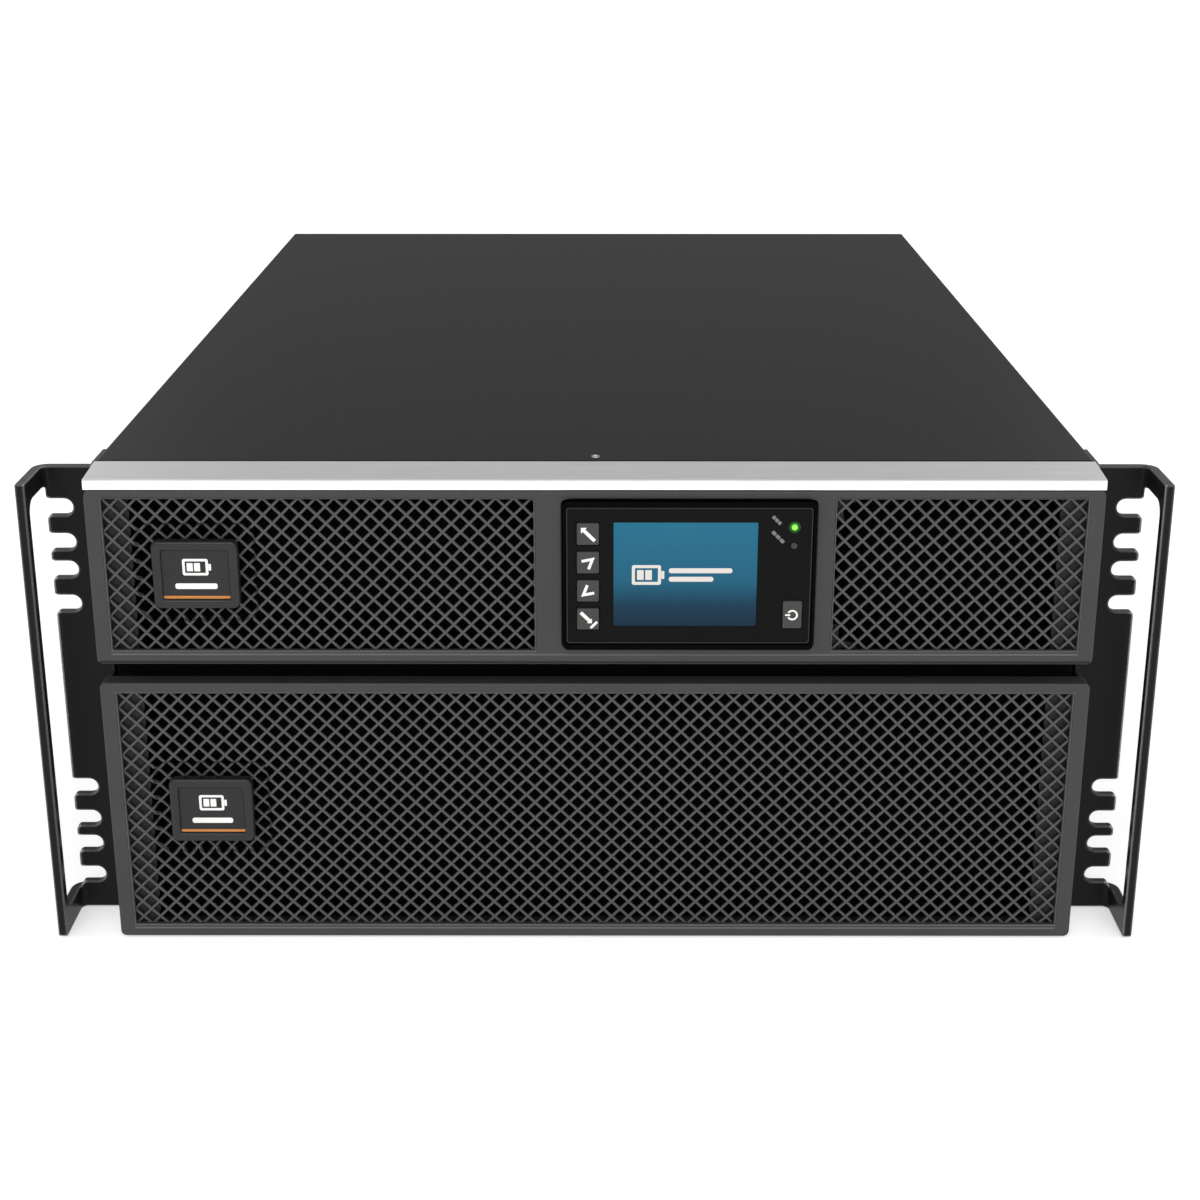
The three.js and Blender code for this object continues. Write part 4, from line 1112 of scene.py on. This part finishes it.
def breaker_frames():
    """Frames around the two breaker levers."""
    for side in ("input", "output"):
        centre = middle(f"{side}_breaker_toggle")
        x, z = centre.x, BREAKER_Z
        bm = bmesh.new()
        outer = rounded_rect(x - 12, x + 12, z - 20, z + 20, 2)
        opening = rounded_rect(x - 7.2, x + 7.2, z - 9.2, z + 9.2, 1)
        add_plate(bm, outer, (PANEL_Y - 0.1, PANEL_Y + 1.6), [opening], 0.5)
        finish_piece(f"{side}_breaker_frame", bm, LOOK["plastic"], "chassis")
        bm = bmesh.new()
        face = PANEL_Y + 1.6
        add_plate(bm, rounded_rect(x - 0.5, x + 0.5, z + 12.6, z + 16.6, 0.4), (face - 0.1, face + 0.1))
        add_plate(bm, circle(x, z - 14.6, 2.2), (face - 0.1, face + 0.1), [circle(x, z - 14.6, 1.4)])
        finish_piece(f"{side}_breaker_marks", bm, LOOK["white"], "chassis")


# ---- battery packs ----
def battery_pack(side):
    """Lids, terminals, links, straps and leads on the pack, and blank labels."""
    low, high = box_mm(f"battery_block_{side}")
    body = f"pack_{side}"
    top = high.z
    middle_x = (low.x + high.x) / 2
    columns = [(low.x + middle_x) / 2, (high.x + middle_x) / 2]
    pitch = (high.y - low.y) / 4
    rows = [low.y + (i + 0.5) * pitch for i in range(4)]
    lids, tabs, links = bmesh.new(), bmesh.new(), bmesh.new()
    for x in columns:
        for y in rows:
            add_box(lids, (x - 42, x + 42), (y - 44, y + 44), (top - 0.2, top + 1.4), 1.2, 3)
            for dx in (-32, 32):
                add_box(tabs, (x + dx - 3, x + dx + 3), (y + 50, y + 51), (top - 1, top + 7), 0.3)
    for x in columns:
        for near, far in zip(rows, rows[1:]):
            add_tube(
                links, [(x + 32, near + 50.5, top + 6), (x + 30, near + 54, top + 8.5),
                        (x + 5, near + 70, top + 8.5), (x - 25, far + 34, top + 8.5),
                        (x - 32, far + 50.5, top + 6)], 1.7, 8,
            )
    finish_piece(f"battery_lids_{side}", lids, LOOK["plastic"], body)
    finish_piece(f"battery_tabs_{side}", tabs, LOOK["brass"], body)
    finish_piece(f"battery_links_{side}", links, LOOK["red"], body)

    straps = bmesh.new()
    for y in (rows[0] + 25, rows[2] + 25):
        add_box(straps, (low.x - 0.5, high.x + 0.5), (y - 7, y + 7), (top + 1.2, top + 2.2), 0.3)
    finish_piece(f"battery_straps_{side}", straps, LOOK["plastic"], body)

    tray = box_mm(f"battery_tray_{side}")[0]
    label = bmesh.new()
    x = middle(f"pack_handle_{side}").x
    add_plate(label, rounded_rect(x - 30, x + 30, 80, 104, 2), (tray.y - 0.12, tray.y + 0.2))
    finish_piece(f"pack_label_{side}", label, LOOK["grey"], body)
    bolts = [(x + dx, tray.y, z) for dx in (-88, 88) for z in (12, 106)]
    screws(f"pack_screws_{side}", bolts, "-y", 3, "steel", body)


# ---- parts on the boards ----
def board_parts():
    """Relays, chips, connectors and small capacitors standing on the two boards."""
    dark, white, cans = bmesh.new(), bmesh.new(), bmesh.new()
    power = box_mm("power_board")
    top = power[1].z
    for i in range(5):
        y = 236 + 52 * i
        add_box(dark, (4, 22), (y, y + 28), (top, top + 16), 0.6)
    for i in range(4):
        add_rod(cans, (98, 236 + 24 * i, top), "z", 8, 26, 24, 1)
    for x in (-190, -84):
        for i in range(6):
            add_box(dark, (x + 0.5, x + 5), (262 + 32 * i, 278 + 32 * i), (top, top + 20), 0.4)
    for i in range(3):
        x = power[0].x + 10 + 60 * i
        add_box(white, (x, x + 30), (power[1].y - 14, power[1].y - 4), (top, top + 10), 0.5)
    base = box_mm("control_board")[1].z
    chips = ((150, 250, 16, 16), (176, 300, 12, 20), (148, 340, 10, 10), (180, 400, 14, 14))
    for i, (x, y, wide, deep) in enumerate(chips):
        add_box(dark, (x, x + wide), (y, y + deep), (base, base + 2.2 + 0.3 * i), 0.3)
    for i in range(4):
        add_box(white, (196, 204), (226 + 60 * i, 250 + 60 * i), (base, base + 9), 0.4)
    finish_piece("board_components", dark, LOOK["plastic"], "chassis")
    finish_piece("board_connectors", white, LOOK["white"], "chassis")
    finish_piece("board_capacitors", cans, LOOK["steel"], "chassis")


# ---- the whole ----
studio()
for finish, (nodes, bevel, segments) in SOFTENED.items():
    for node in nodes:
        soften(node, finish, bevel, segments)
meshes()
for row in ("upper", "lower"):
    badge(row)
key_signs()
screen()
display_trims()
case_screws()
finger_guards()
outlets()
terminal_fittings()
port_details()
breaker_frames()
for hand in ("left", "right"):
    battery_pack(hand)
board_parts()
